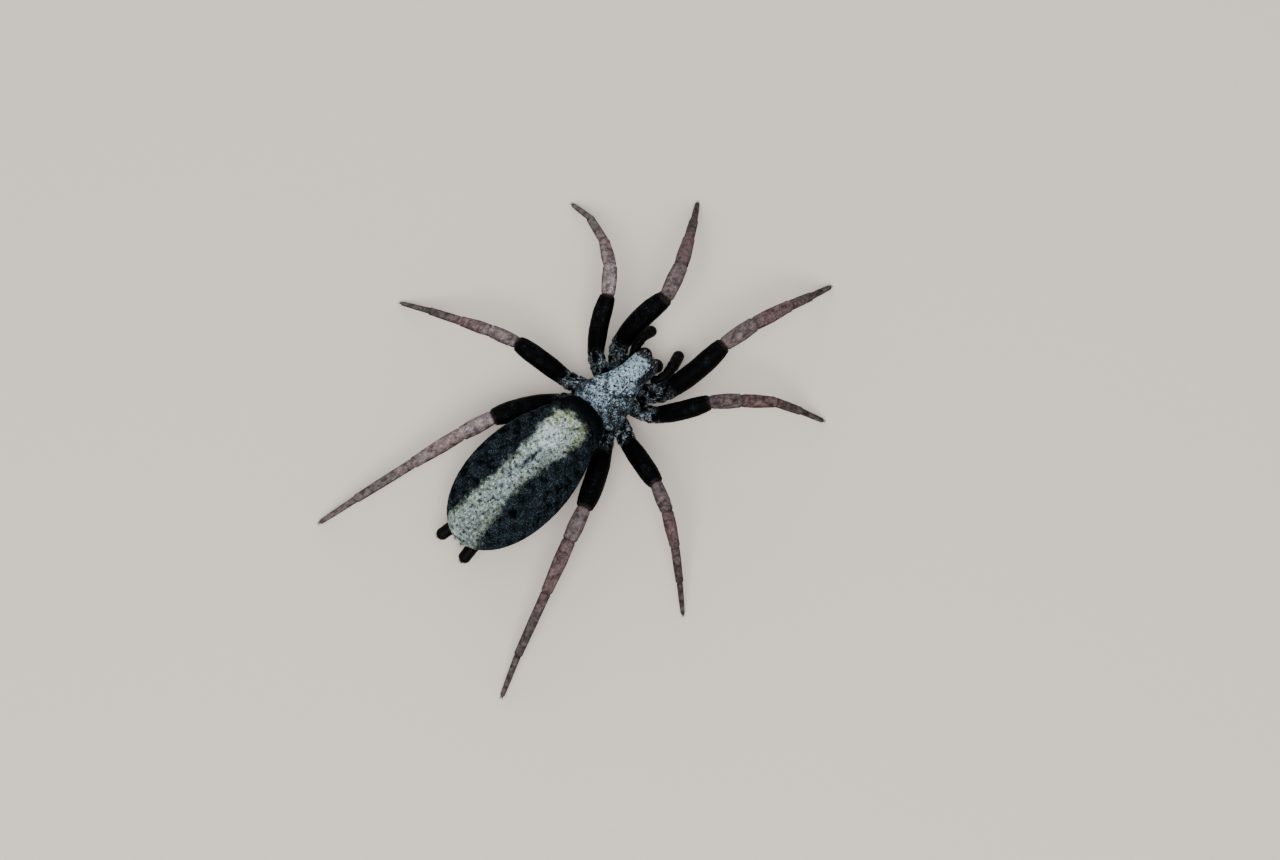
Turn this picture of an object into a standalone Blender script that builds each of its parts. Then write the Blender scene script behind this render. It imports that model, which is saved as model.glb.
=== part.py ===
"""A ground spider at life size, standing on a flat floor.

The head points along -Y, the animal's left side is +X and +Z is up. Lengths are in metres.
The body is worked out in its own frame, with Y = 0 at the waist, and the whole animal is then
carried by one empty that brings the middle of its leg span over the origin, feet on the floor.
"""

import math

import bmesh
import bpy
from mathutils import Vector

MM = 0.001

# Clearances between pieces that meet.
GAP = 0.15 * MM
EYE_GAP = 0.03 * MM

# Carapace, the shield over head and thorax.
HEAD_FRONT = -2.62 * MM
HEAD_BACK = -1.75 * MM
THORAX_FRONT = 0.02 * MM
CARAPACE_REAR = 0.46 * MM
HEAD_HALF_WIDTH = 0.55 * MM
THORAX_HALF_WIDTH = 1.08 * MM
RIM_HEIGHT = 1.62 * MM
HEAD_RISE = 0.66 * MM
THORAX_RISE = 0.64 * MM
REAR_SLOPE = 0.40
CARAPACE_UNDERSIDE = 0.09 * MM
HEAD_BLUNTNESS = 4.5
THORAX_BLUNTNESS = 2.5
ROOF_SQUARENESS = 2.3
RIM_SQUARENESS = 3.5

# Grooves pressed into the carapace: how deep and how wide.
FOVEA_Y = -0.30 * MM
FOVEA_HALF_LENGTH = 0.22 * MM
FOVEA_DEPTH = 0.063 * MM
FURROW_DEPTH = 0.045 * MM
FURROW_WIDTH = 0.10 * MM
FURROW_ANGLES = (38, 78, 112, 146)
FURROW_START = (0.2 * MM, 0.5 * MM)
FURROW_END = (1.0 * MM, 1.25 * MM)

# Sternum, the plate between the leg bases.
STERNUM_FRONT = -1.56 * MM
STERNUM_REAR = 0.10 * MM
STERNUM_HALF_WIDTH = 0.55 * MM
STERNUM_FLOOR = 0.78 * MM
STERNUM_ROOF = 1.38 * MM
STERNUM_TAPER = 0.22
STERNUM_SQUARENESS = 4.0
STERNUM_WIDTH_FULLNESS = 0.8
STERNUM_HEIGHT_FULLNESS = 0.35

# Abdomen.
ABDOMEN_FRONT = 0.22 * MM
ABDOMEN_REAR = 6.95 * MM
ABDOMEN_HALF_WIDTH = 1.86 * MM
ABDOMEN_REARWARD = 0.12
ABDOMEN_FRONT_HEIGHT = 2.38 * MM
ABDOMEN_REAR_HEIGHT = 1.46 * MM
ABDOMEN_ROOF = 1.04 * MM
ABDOMEN_BELLY = 1.52 * MM
ABDOMEN_UNDERCUT = 0.24
ABDOMEN_SQUARENESS = 2.1
# Where its middle line sinks, as shares of its length, and the powers of a sine that give its
# half width at the front, behind the shoulders and at the rear, its roof and its belly.
ABDOMEN_SINKING = (0.10, 0.95)
ABDOMEN_FULLNESS = (0.68, 1.22, 1.02)
ABDOMEN_SHOULDERS = (0.12, 0.33)
ABDOMEN_LOINS = (0.40, 0.60)
ABDOMEN_ROOF_FULLNESS = 0.85
ABDOMEN_BELLY_FULLNESS = 1.3

# Eyes, by rows: distance from the middle, distance from the front, radius.
EYES = {
    "front_median": (0.095 * MM, 0.035 * MM, 0.052 * MM),
    "front_lateral": (0.290 * MM, 0.065 * MM, 0.064 * MM),
    "rear_median": (0.120 * MM, 0.240 * MM, 0.057 * MM),
    "rear_lateral": (0.350 * MM, 0.285 * MM, 0.064 * MM),
}
EYE_PROUD = 0.45

# Legs. Each leg has a base, where it leaves the sternum, and a hip, where the thigh begins.
LEG_BASES = {
    1: (0.46 * MM, -1.38 * MM, 1.06 * MM),
    2: (0.55 * MM, -0.86 * MM, 1.04 * MM),
    3: (0.55 * MM, -0.36 * MM, 1.04 * MM),
    4: (0.46 * MM, 0.14 * MM, 1.02 * MM),
}
LEG_HIPS = {
    1: (1.20 * MM, -2.15 * MM, 1.25 * MM),
    2: (1.53 * MM, -1.30 * MM, 1.22 * MM),
    3: (1.58 * MM, 0.06 * MM, 1.25 * MM),
    4: (1.12 * MM, 0.80 * MM, 1.22 * MM),
}
SEGMENTS = ("femur", "patella", "tibia", "metatarsus", "tarsus")
SEGMENT_LENGTHS = {
    1: (2.79 * MM, 1.32 * MM, 1.66 * MM, 1.35 * MM, 1.14 * MM),
    2: (2.28 * MM, 1.11 * MM, 1.37 * MM, 1.40 * MM, 1.09 * MM),
    3: (2.28 * MM, 1.06 * MM, 1.36 * MM, 1.45 * MM, 1.25 * MM),
    4: (2.60 * MM, 1.24 * MM, 2.04 * MM, 2.49 * MM, 1.61 * MM),
}
# Half thickness of each length at its start, middle and end, and a share for each leg.
SEGMENT_RADII = {
    "coxa": (0.24 * MM, 0.30 * MM, 0.30 * MM),
    "femur": (0.29 * MM, 0.39 * MM, 0.32 * MM),
    "patella": (0.27 * MM, 0.30 * MM, 0.26 * MM),
    "tibia": (0.25 * MM, 0.28 * MM, 0.25 * MM),
    "metatarsus": (0.24 * MM, 0.25 * MM, 0.22 * MM),
    "tarsus": (0.22 * MM, 0.21 * MM, 0.15 * MM),
}
LEG_STOUTNESS = {1: 1.0, 2: 0.90, 3: 0.94, 4: 0.96}
SEGMENT_FULLNESS = 0.7
# Pose of each leg in degrees, from femur to tarsus: the way that each length points, from
# straight ahead round to the animal's own side, and how steeply it climbs. The last climb is
# worked out, because the tarsus comes down to the floor.
LEG_POSES = {
    ("right", 1): ((7, 10, 11, 8, 8), (20, 6, -22, -44)),
    ("right", 2): ((36, 42, 40, 50, 58), (28, 5, -26, -47)),
    ("right", 3): ((103, 112, 120, 125, 127), (28, -1, -27, -38)),
    ("right", 4): ((149.5, 158, 158, 159, 156), (17, -2, -13, -18)),
    ("left", 1): ((-5, 23, 33, 35, 37), (39, -8, -38, -46)),
    ("left", 2): ((33, 43, 58, 73, 91), (28, -6, -34, -31)),
    ("left", 3): ((103, 110, 112, 112, 115), (21, -10, -26, -27)),
    ("left", 4): ((152.5, 164, 166, 166, 166), (14, -3, -12, -16)),
}
FEMUR_ARCH = 0.09 * MM
# Sideways bow of the thigh in each pair of legs, positive towards the rear.
FEMUR_BOWS = {1: 0.10 * MM, 2: 0.08 * MM, 3: 0.0, 4: -0.07 * MM}
FOOT_HEIGHT = 0.10 * MM
CLAW_LENGTH = 0.13 * MM
CLAW_RADIUS = 0.09 * MM
LEG_NODES = (("coxa",), ("femur",), ("patella", "tibia"), ("metatarsus", "tarsus"))
RING_PLACES = (0.0, 0.14, 0.32, 0.5, 0.68, 0.86)

# Chelicerae, the jaws, and the fangs folded under them.
CHELICERA_PATH = ((0.27, -2.34, 1.62), (0.295, -2.57, 1.44), (0.265, -2.62, 1.08), (0.24, -2.60, 0.76))
CHELICERA_RADII = (0.20, 0.26, 0.22, 0.155)
FANG_PATH = ((0.25, -2.63, 0.46), (0.20, -2.61, 0.41), (0.13, -2.50, 0.38), (0.08, -2.37, 0.38))
FANG_RADII = (0.08, 0.075, 0.055, 0.025)

# Mouth parts.
ENDITE_CENTRE = (0.26 * MM, -2.02 * MM, 1.02 * MM)
ENDITE_HALVES = (0.14 * MM, 0.26 * MM, 0.17 * MM)
LABIUM_CENTRE = (0.0, -1.81 * MM, 1.02 * MM)
LABIUM_HALVES = (0.09 * MM, 0.14 * MM, 0.12 * MM)

# Palps, the short feelers beside the jaws: path in millimetres for each side, heights and radii.
PALP_PATHS = {
    "left": ((0.47, -2.12), (0.67, -2.38), (0.84, -2.72), (0.92, -3.10), (0.86, -3.50)),
    "right": ((0.47, -2.12), (0.66, -2.36), (0.72, -2.70), (0.63, -3.14), (0.43, -3.58)),
}
PALP_HEIGHTS = (0.98, 0.96, 0.98, 0.96, 0.66)
PALP_RADII = (0.15, 0.16, 0.18, 0.21, 0.20)
PALP_JOINT = 2

# Spinnerets at the end of the abdomen: root, tip and radius in millimetres.
SPINNERETS = {
    "front": ((0.47, 6.30, 1.02), (0.61, 7.24, 0.92), 0.22),
    "rear": ((0.13, 6.20, 1.00), (0.15, 6.80, 0.92), 0.10),
}
SPINNERET_TAPER = 0.86

# The waist.
PEDICEL_START = (0.0, -0.12 * MM, 1.02 * MM)
PEDICEL_END = (0.0, 1.35 * MM, 1.56 * MM)
PEDICEL_RADIUS = 0.20 * MM

# How finely the pieces are faceted.
CARAPACE_FACETS = (30, 26)
ABDOMEN_FACETS = (32, 26)
SMALL_FACETS = (14, 10)
STERNUM_FACETS = (22, 12)
EYE_FACETS = (10, 6)
TUBE_BEVEL = 4
SMALL_TUBE_BEVEL = 3
# Rings that dome a round tube's end: how far out and how wide, in the radius there.
END_DOME = ((0.45, 0.86), (0.85, 0.5))

# Colours, as linear RGB with roughness.
MATERIALS = {
    "grey_shield": ((0.20, 0.21, 0.23, 1.0), 0.75),
    "black_cuticle": ((0.008, 0.008, 0.010, 1.0), 0.45),
    "banded_abdomen": ((0.05, 0.055, 0.045, 1.0), 0.80),
    "red_brown_leg": ((0.13, 0.055, 0.045, 1.0), 0.55),
    "eye": ((0.004, 0.004, 0.005, 1.0), 0.08),
    "fang": ((0.03, 0.008, 0.005, 1.0), 0.25),
}

SIDES = {"left": 1, "right": -1}


def clear_scene():
    """Empty the file of objects, so that only the animal is left."""
    for obj in list(bpy.data.objects):
        bpy.data.objects.remove(obj, do_unlink=True)


def make_collection(name):
    """A collection under the scene's own."""
    collection = bpy.data.collections.new(name)
    bpy.context.scene.collection.children.link(collection)
    return collection


def make_materials():
    """One Principled material for each finish."""
    made = {}
    for name, (colour, roughness) in MATERIALS.items():
        material = bpy.data.materials.new(name)
        material.use_nodes = True
        shader = material.node_tree.nodes["Principled BSDF"]
        shader.inputs["Base Color"].default_value = colour
        shader.inputs["Roughness"].default_value = roughness
        shader.inputs["Metallic"].default_value = 0.0
        material.diffuse_color = colour
        made[name] = material
    return made


def object_from(shape, name, collection, material=None):
    """Turn an edited mesh into a named object, shaded smooth."""
    mesh = bpy.data.meshes.new(name)
    shape.to_mesh(mesh)
    shape.free()
    mesh.shade_smooth()
    obj = bpy.data.objects.new(name, mesh)
    collection.objects.link(obj)
    if material is not None:
        mesh.materials.append(material)
    return obj


def smooth_step(value, start, end):
    """0 before start, 1 after end, and an S curve between."""
    share = min(max((value - start) / (end - start), 0.0), 1.0)
    return share * share * (3 - 2 * share)


def rounded(share, bluntness):
    """Height of a superellipse at a share of its half length."""
    return max(1.0 - min(abs(share), 1.0) ** bluntness, 0.0) ** (1.0 / bluntness)


def squared(value, squareness):
    """A sine or cosine pushed outwards, which squares the section as squareness grows past 2."""
    return math.copysign(abs(value) ** (2.0 / squareness), value)


def sphere_form(facets, place):
    """A UV sphere whose poles lie fore and aft, with each point moved by place(along, side, up).

    along runs from 0 at the front pole to pi at the rear one. side and up are the cosine and
    sine of the way round the body.
    """
    shape = bmesh.new()
    bmesh.ops.create_uvsphere(shape, u_segments=facets[0], v_segments=facets[1], radius=1.0)
    for point in shape.verts:
        along = math.acos(min(max(point.co.z, -1.0), 1.0))
        ring = math.hypot(point.co.x, point.co.y)
        side = point.co.x / ring if ring > 1e-6 else 0.0
        up = point.co.y / ring if ring > 1e-6 else 0.0
        point.co = place(along, side, up)
    return shape


def ends_between(along, start, end):
    """Y on a form from start to end, for an angle along it."""
    return start + (end - start) * (1.0 - math.cos(along)) / 2.0


def furrows(x, y):
    """Depth of the middle pit and of the grooves that fan out from it over the carapace."""
    reach = math.hypot(x, y - FOVEA_Y)
    pit = math.exp(-((x / FURROW_WIDTH) ** 2) - ((y - FOVEA_Y) / FOVEA_HALF_LENGTH) ** 2)
    depth = FOVEA_DEPTH * pit
    bearing = math.degrees(math.atan2(abs(x), -(y - FOVEA_Y)))
    fade = smooth_step(reach, *FURROW_START) * (1.0 - smooth_step(reach, *FURROW_END))
    for angle in FURROW_ANGLES:
        offset = reach * math.sin(math.radians(bearing - angle))
        if abs(bearing - angle) < 90:
            depth += FURROW_DEPTH * fade * math.exp(-((offset / FURROW_WIDTH) ** 2))
    return depth


def carapace_place(grow=0.0):
    """Places the carapace's points: a narrow blunt head that widens to a round low thorax."""

    def place(along, side, up):
        y = ends_between(along, HEAD_FRONT, CARAPACE_REAR)
        widening = smooth_step(y, HEAD_BACK, THORAX_FRONT)
        ends = rounded((HEAD_BACK - y) / (HEAD_BACK - HEAD_FRONT), HEAD_BLUNTNESS) if y < HEAD_BACK else 1.0
        if y > THORAX_FRONT:
            ends = rounded((y - THORAX_FRONT) / (CARAPACE_REAR - THORAX_FRONT), THORAX_BLUNTNESS)
        width = (HEAD_HALF_WIDTH + (THORAX_HALF_WIDTH - HEAD_HALF_WIDTH) * widening) * ends
        rise = (HEAD_RISE + (THORAX_RISE - HEAD_RISE) * widening) * ends
        rise *= 1.0 - REAR_SLOPE * smooth_step(y, FOVEA_Y, CARAPACE_REAR)
        height = rise if up > 0 else CARAPACE_UNDERSIDE * ends
        squareness = ROOF_SQUARENESS if up > 0 else RIM_SQUARENESS
        x = width * squared(side, squareness)
        z = RIM_HEIGHT + height * squared(up, squareness)
        if up > 0:
            z -= furrows(x, y) * up
        outward = Vector((side * math.sin(along), -math.cos(along), up * math.sin(along)))
        return Vector((x, y, z)) + outward * grow

    return place


def carapace_height(x, y):
    """Height of the carapace's roof over a point of the plan."""
    place = carapace_place()
    cosine = 1.0 - 2.0 * (y - HEAD_FRONT) / (CARAPACE_REAR - HEAD_FRONT)
    along = math.acos(min(max(cosine, -1.0), 1.0))
    edge = place(along, 1.0, 1e-9).x
    side = min(abs(x) / edge, 1.0) ** (ROOF_SQUARENESS / 2.0)
    return place(along, side, math.sqrt(1.0 - side * side)).z


def abdomen_place(grow=0.0):
    """Places the abdomen's points: a long egg that hangs over the waist and sinks to the rear."""

    def place(along, side, up):
        swell = math.sin(along)
        y = ends_between(along, ABDOMEN_FRONT, ABDOMEN_REAR)
        to_rear = along / math.pi
        sinking = smooth_step(to_rear, *ABDOMEN_SINKING)
        middle = ABDOMEN_FRONT_HEIGHT + (ABDOMEN_REAR_HEIGHT - ABDOMEN_FRONT_HEIGHT) * sinking
        front, shoulders, rear = ABDOMEN_FULLNESS
        fullness = front + (shoulders - front) * smooth_step(to_rear, *ABDOMEN_SHOULDERS)
        fullness += (rear - shoulders) * smooth_step(to_rear, *ABDOMEN_LOINS)
        width = ABDOMEN_HALF_WIDTH * (1.0 - ABDOMEN_REARWARD * math.cos(along)) * swell**fullness
        height = ABDOMEN_BELLY * swell**ABDOMEN_BELLY_FULLNESS
        if up > 0:
            height = ABDOMEN_ROOF * swell**ABDOMEN_ROOF_FULLNESS
        narrowing = 1.0 + ABDOMEN_UNDERCUT * min(up, 0.0)
        outward = Vector((side * swell, -math.cos(along), up * swell))
        x = width * narrowing * squared(side, ABDOMEN_SQUARENESS)
        z = middle + height * squared(up, ABDOMEN_SQUARENESS)
        return Vector((x, y, z)) + outward * grow

    return place


def sternum_place(grow=0.0):
    """Places the sternum's points: a shield with upright edges and a gently domed underside."""

    def place(along, side, up):
        swell = math.sin(along)
        y = ends_between(along, STERNUM_FRONT, STERNUM_REAR)
        taper = 1.0 - STERNUM_TAPER * smooth_step(along / math.pi, 0.45, 1.0)
        middle = (STERNUM_FLOOR + STERNUM_ROOF) / 2.0
        half = (STERNUM_ROOF - STERNUM_FLOOR) / 2.0
        outward = Vector((side * swell, -math.cos(along), up * swell))
        width = STERNUM_HALF_WIDTH * taper * swell**STERNUM_WIDTH_FULLNESS
        x = width * squared(side, STERNUM_SQUARENESS)
        z = middle + half * swell**STERNUM_HEIGHT_FULLNESS * squared(up, STERNUM_SQUARENESS)
        return Vector((x, y, z)) + outward * grow

    return place


def ellipsoid_place(centre, halves, grow=0.0):
    """Places the points of a plain egg about a centre."""

    def place(along, side, up):
        swell = math.sin(along)
        outward = Vector((side * swell, -math.cos(along), up * swell))
        return Vector(centre) + Vector([outward[axis] * (halves[axis] + grow) for axis in range(3)])

    return place


def tube(points, radii, bevel):
    """An edited mesh of a capped tube along points, thick as radii say."""
    curve = bpy.data.curves.new("tube", "CURVE")
    curve.dimensions = "3D"
    curve.bevel_depth = MM
    curve.bevel_resolution = bevel
    curve.use_fill_caps = True
    spline = curve.splines.new("POLY")
    spline.points.add(len(points) - 1)
    for knot, point, radius in zip(spline.points, points, radii):
        knot.co = (*point, 1.0)
        knot.radius = radius / MM
    guide = bpy.data.objects.new("tube", curve)
    bpy.context.scene.collection.objects.link(guide)
    bpy.context.view_layer.update()
    evaluated = guide.evaluated_get(bpy.context.evaluated_depsgraph_get())
    mesh = bpy.data.meshes.new_from_object(evaluated)
    shape = bmesh.new()
    shape.from_mesh(mesh)
    bmesh.ops.remove_doubles(shape, verts=shape.verts[:], dist=1e-7)
    bmesh.ops.recalc_face_normals(shape, faces=shape.faces[:])
    bpy.data.objects.remove(guide, do_unlink=True)
    bpy.data.curves.remove(curve)
    bpy.data.meshes.remove(mesh)
    return shape


def millimetres(points, side=1):
    """Points given in millimetres for the left side, in metres for either side."""
    return [Vector((side * x, y, z)) * MM for x, y, z in points]


def smoothed(values, steps):
    """Points of a Catmull-Rom curve through the values, with that many steps between two."""
    padded = [2 * values[0] - values[1], *values, 2 * values[-1] - values[-2]]
    found = []
    for before, start, end, after in zip(padded, padded[1:], padded[2:], padded[3:]):
        for step in range(steps):
            t = step / steps
            found.append(
                0.5
                * (
                    2 * start
                    + (end - before) * t
                    + (2 * before - 5 * start + 4 * end - after) * t**2
                    + (3 * start - before - 3 * end + after) * t**3
                )
            )
    return [*found, values[-1]]


def round_tube(points, radii, bevel, steps=3):
    """A smooth tube through a few points, with a domed end."""
    centres = smoothed(points, steps)
    halves = smoothed(list(radii), steps)
    tip_way = (centres[-1] - centres[-2]).normalized()
    for lift, share in END_DOME:
        centres.append(points[-1] + tip_way * halves[len(points) * steps - steps] * lift)
        halves.append(radii[-1] * share)
    return tube(centres, halves, bevel)


def keep_beyond(shape, at, facing):
    """Cut the mesh by a plane, keep the side that it faces and close the cut."""
    whole = shape.verts[:] + shape.edges[:] + shape.faces[:]
    plane = {"plane_co": at, "plane_no": facing}
    cut = bmesh.ops.bisect_plane(shape, geom=whole, clear_inner=True, dist=1e-8, **plane)
    rim = [piece for piece in cut["geom_cut"] if isinstance(piece, bmesh.types.BMEdge)]
    bmesh.ops.edgeloop_fill(shape, edges=rim)
    bmesh.ops.recalc_face_normals(shape, faces=shape.faces[:])


def leg_joints(side, number):
    """The places where a leg's lengths meet, from its base to the foot."""
    mirror = SIDES[side]
    headings, climbs = LEG_POSES[side, number]
    x, y, z = LEG_BASES[number]
    base = Vector((mirror * x, y, z))
    x, y, z = LEG_HIPS[number]
    joints = [base, Vector((mirror * x, y, z))]
    for index, length in enumerate(SEGMENT_LENGTHS[number]):
        start = joints[-1]
        last = index == len(SEGMENTS) - 1
        climb = math.asin((FOOT_HEIGHT - start.z) / length) if last else math.radians(climbs[index])
        heading = math.radians(headings[index])
        way = Vector((mirror * math.sin(heading), -math.cos(heading), 0.0)) * math.cos(climb)
        joints.append(start + length * (way + Vector((0.0, 0.0, math.sin(climb)))))
    return joints


def radius_at(radii, share):
    """Half thickness at a share of one length: narrow at its joints and full between them."""
    start, middle, end = radii
    ends = start + (end - start) * share
    bulge = middle - (start + end) / 2.0
    return ends + bulge * math.sin(math.pi * share) ** SEGMENT_FULLNESS


def leg_tube(joints, number):
    """One leg whole, from its base to the claws, as a tube with rings set along every length."""
    points, radii = [], []
    for index, segment in enumerate(("coxa", *SEGMENTS)):
        start, end = joints[index], joints[index + 1]
        level = Vector((end.x - start.x, end.y - start.y, 0.0)).normalized()
        rearward = Vector((-level.y, level.x, 0.0)) * math.copysign(1.0, start.x)
        swing = rearward * FEMUR_BOWS[number] + Vector((0.0, 0.0, FEMUR_ARCH))
        for share in RING_PLACES:
            away = swing * math.sin(math.pi * share) if segment == "femur" else Vector()
            points.append(start.lerp(end, share) + away)
            radii.append(radius_at(SEGMENT_RADII[segment], share) * LEG_STOUTNESS[number])
    foot = joints[-1]
    forward = Vector((foot.x - joints[-2].x, foot.y - joints[-2].y, 0.0)).normalized()
    points += [foot, foot + forward * CLAW_LENGTH]
    radii += [SEGMENT_RADII["tarsus"][2] * LEG_STOUTNESS[number], CLAW_RADIUS]
    return tube(points, radii, TUBE_BEVEL)


def cut_facing(joints, index):
    """The way that a thin cut through a joint faces: halfway between the lengths that meet."""
    before = (joints[index] - joints[index - 1]).normalized()
    after = (joints[index + 1] - joints[index]).normalized()
    return (before + after).normalized()


def build_leg(side, number, collection, materials, cutters):
    """A leg parted at its hip, knee and ankle by thin cuts."""
    joints = leg_joints(side, number)
    first = 0
    for names in LEG_NODES:
        last = first + len(names)
        shape = leg_tube(joints, number)
        if first > 0:
            facing = cut_facing(joints, first)
            keep_beyond(shape, joints[first] + facing * GAP / 2, facing)
        if last < len(joints) - 1:
            facing = cut_facing(joints, last)
            keep_beyond(shape, joints[last] - facing * GAP / 2, -facing)
        else:
            keep_beyond(shape, Vector((0.0, 0.0, 0.0)), Vector((0.0, 0.0, 1.0)))
        finish = "black_cuticle" if last <= 2 else "red_brown_leg"
        name = f"leg_{side}_{number}_{names[-1]}"
        node = object_from(shape, name, collection, materials[finish])
        if first == 0:
            cut_by(node, cutters["sternum"])
        first = last


def cut_by(obj, cutter):
    """Take a cutter away from an object with a live Boolean."""
    boolean = obj.modifiers.new(f"clear_of_{cutter.name}", "BOOLEAN")
    boolean.operation = "DIFFERENCE"
    boolean.solver = "EXACT"
    boolean.object = cutter


def make_cutter(shape, name, collection):
    """A hidden helper that other pieces are cut clear of."""
    cutter = object_from(shape, name, collection)
    cutter.hide_render = True
    cutter.display_type = "WIRE"
    return cutter


def build_cutters(collection):
    """The body's main forms, grown by the gap."""
    endites = {}
    for side, mirror in SIDES.items():
        centre = (mirror * ENDITE_CENTRE[0], ENDITE_CENTRE[1], ENDITE_CENTRE[2])
        shape = sphere_form(SMALL_FACETS, ellipsoid_place(centre, ENDITE_HALVES, GAP / 2))
        endites[f"endite_{side}"] = make_cutter(shape, f"cutter_endite_{side}", collection)
    carapace = sphere_form(CARAPACE_FACETS, carapace_place(GAP))
    abdomen = sphere_form(ABDOMEN_FACETS, abdomen_place(GAP))
    sternum = sphere_form(STERNUM_FACETS, sternum_place(GAP))
    return endites | {
        "carapace": make_cutter(carapace, "cutter_carapace", collection),
        "abdomen": make_cutter(abdomen, "cutter_abdomen", collection),
        "sternum": make_cutter(sternum, "cutter_sternum", collection),
    }


def build_body(collection, materials, cutters):
    """Carapace, sternum, waist and abdomen."""
    carapace = sphere_form(CARAPACE_FACETS, carapace_place())
    sternum = sphere_form(STERNUM_FACETS, sternum_place())
    abdomen = sphere_form(ABDOMEN_FACETS, abdomen_place())
    pedicel = tube([Vector(PEDICEL_START), Vector(PEDICEL_END)], [PEDICEL_RADIUS] * 2, SMALL_TUBE_BEVEL)
    object_from(sternum, "sternum", collection, materials["black_cuticle"])
    object_from(abdomen, "abdomen", collection, materials["banded_abdomen"])
    waist = object_from(pedicel, "pedicel", collection, materials["black_cuticle"])
    cut_by(waist, cutters["sternum"])
    cut_by(waist, cutters["abdomen"])
    return object_from(carapace, "carapace", collection, materials["grey_shield"])


def build_eyes(carapace, collection, materials, cutter_collection):
    """Eight eyes, each seated in a shallow socket of the head."""
    sockets = bpy.data.collections.new("eye_sockets")
    cutter_collection.children.link(sockets)
    for side, mirror in SIDES.items():
        for row, (across, back, radius) in EYES.items():
            y = HEAD_FRONT + back
            surface = carapace_height(across, y)
            centre = (mirror * across, y, surface - radius * (1.0 - 2.0 * EYE_PROUD))
            eye = sphere_form(EYE_FACETS, ellipsoid_place(centre, (radius,) * 3))
            object_from(eye, f"eye_{side}_{row}", collection, materials["eye"])
            socket = sphere_form(EYE_FACETS, ellipsoid_place(centre, (radius + EYE_GAP,) * 3))
            make_cutter(socket, f"socket_{side}_{row}", sockets)
    boolean = carapace.modifiers.new("eye_sockets", "BOOLEAN")
    boolean.operation = "DIFFERENCE"
    boolean.solver = "EXACT"
    boolean.operand_type = "COLLECTION"
    boolean.collection = sockets


def build_mouth(collection, materials, cutters):
    """Jaws with their fangs, the mouth pads and the palps on either side."""
    labium = sphere_form(SMALL_FACETS, ellipsoid_place(LABIUM_CENTRE, LABIUM_HALVES))
    object_from(labium, "labium", collection, materials["black_cuticle"])
    for side, mirror in SIDES.items():
        centre = (mirror * ENDITE_CENTRE[0], ENDITE_CENTRE[1], ENDITE_CENTRE[2])
        endite = sphere_form(SMALL_FACETS, ellipsoid_place(centre, ENDITE_HALVES))
        object_from(endite, f"endite_{side}", collection, materials["black_cuticle"])
        jaw = round_tube(millimetres(CHELICERA_PATH, mirror), [r * MM for r in CHELICERA_RADII], TUBE_BEVEL)
        chelicera = object_from(jaw, f"chelicera_{side}", collection, materials["black_cuticle"])
        cut_by(chelicera, cutters["carapace"])
        hook = round_tube(millimetres(FANG_PATH, mirror), [r * MM for r in FANG_RADII], SMALL_TUBE_BEVEL)
        object_from(hook, f"fang_{side}", collection, materials["fang"])
        build_palp(side, collection, materials, cutters)


def build_palp(side, collection, materials, cutters):
    """A palp, parted once at its knee."""
    path = [(x, y, height) for (x, y), height in zip(PALP_PATHS[side], PALP_HEIGHTS)]
    points = millimetres(path, SIDES[side])
    radii = [r * MM for r in PALP_RADII]
    facing = (points[PALP_JOINT + 1] - points[PALP_JOINT - 1]).normalized()
    knee = points[PALP_JOINT]
    near = round_tube(points, radii, SMALL_TUBE_BEVEL)
    keep_beyond(near, knee - facing * GAP / 2, -facing)
    far = round_tube(points, radii, SMALL_TUBE_BEVEL)
    keep_beyond(far, knee + facing * GAP / 2, facing)
    thigh = object_from(near, f"palp_{side}_femur", collection, materials["black_cuticle"])
    cut_by(thigh, cutters[f"endite_{side}"])
    object_from(far, f"palp_{side}_tarsus", collection, materials["black_cuticle"])


def build_spinnerets(collection, materials, cutters):
    """Two pairs of spinnerets, rooted on the abdomen's end."""
    for side, mirror in SIDES.items():
        for row, (root, tip, radius) in SPINNERETS.items():
            points = millimetres((root, tip), mirror)
            radii = [radius * MM, SPINNERET_TAPER * radius * MM]
            shape = round_tube(points, radii, SMALL_TUBE_BEVEL, steps=4)
            node = object_from(shape, f"spinneret_{side}_{row}", collection, materials["black_cuticle"])
            cut_by(node, cutters["abdomen"])


def stand_over_origin(collection):
    """Hang every piece from one empty that centres the leg span over the origin."""
    stance = bpy.data.objects.new("stance", None)
    collection.objects.link(stance)
    corners = []
    for obj in collection.objects:
        if obj.type == "MESH":
            obj.parent = stance
            corners += [Vector(corner) for corner in obj.bound_box]
    middle_x = (min(c.x for c in corners) + max(c.x for c in corners)) / 2
    middle_y = (min(c.y for c in corners) + max(c.y for c in corners)) / 2
    stance.location = (-middle_x, -middle_y, 0.0)


def main():
    clear_scene()
    materials = make_materials()
    spider = make_collection("ground_spider")
    helpers = make_collection("cutters")
    cutters = build_cutters(helpers)
    carapace = build_body(spider, materials, cutters)
    build_eyes(carapace, spider, materials, helpers)
    build_mouth(spider, materials, cutters)
    build_spinnerets(spider, materials, cutters)
    for side in SIDES:
        for number in LEG_HIPS:
            build_leg(side, number, spider, materials, cutters)
    stand_over_origin(spider)
    for helper in helpers.all_objects:
        helper.parent = bpy.data.objects["stance"]
    bpy.context.view_layer.update()


main()
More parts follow.
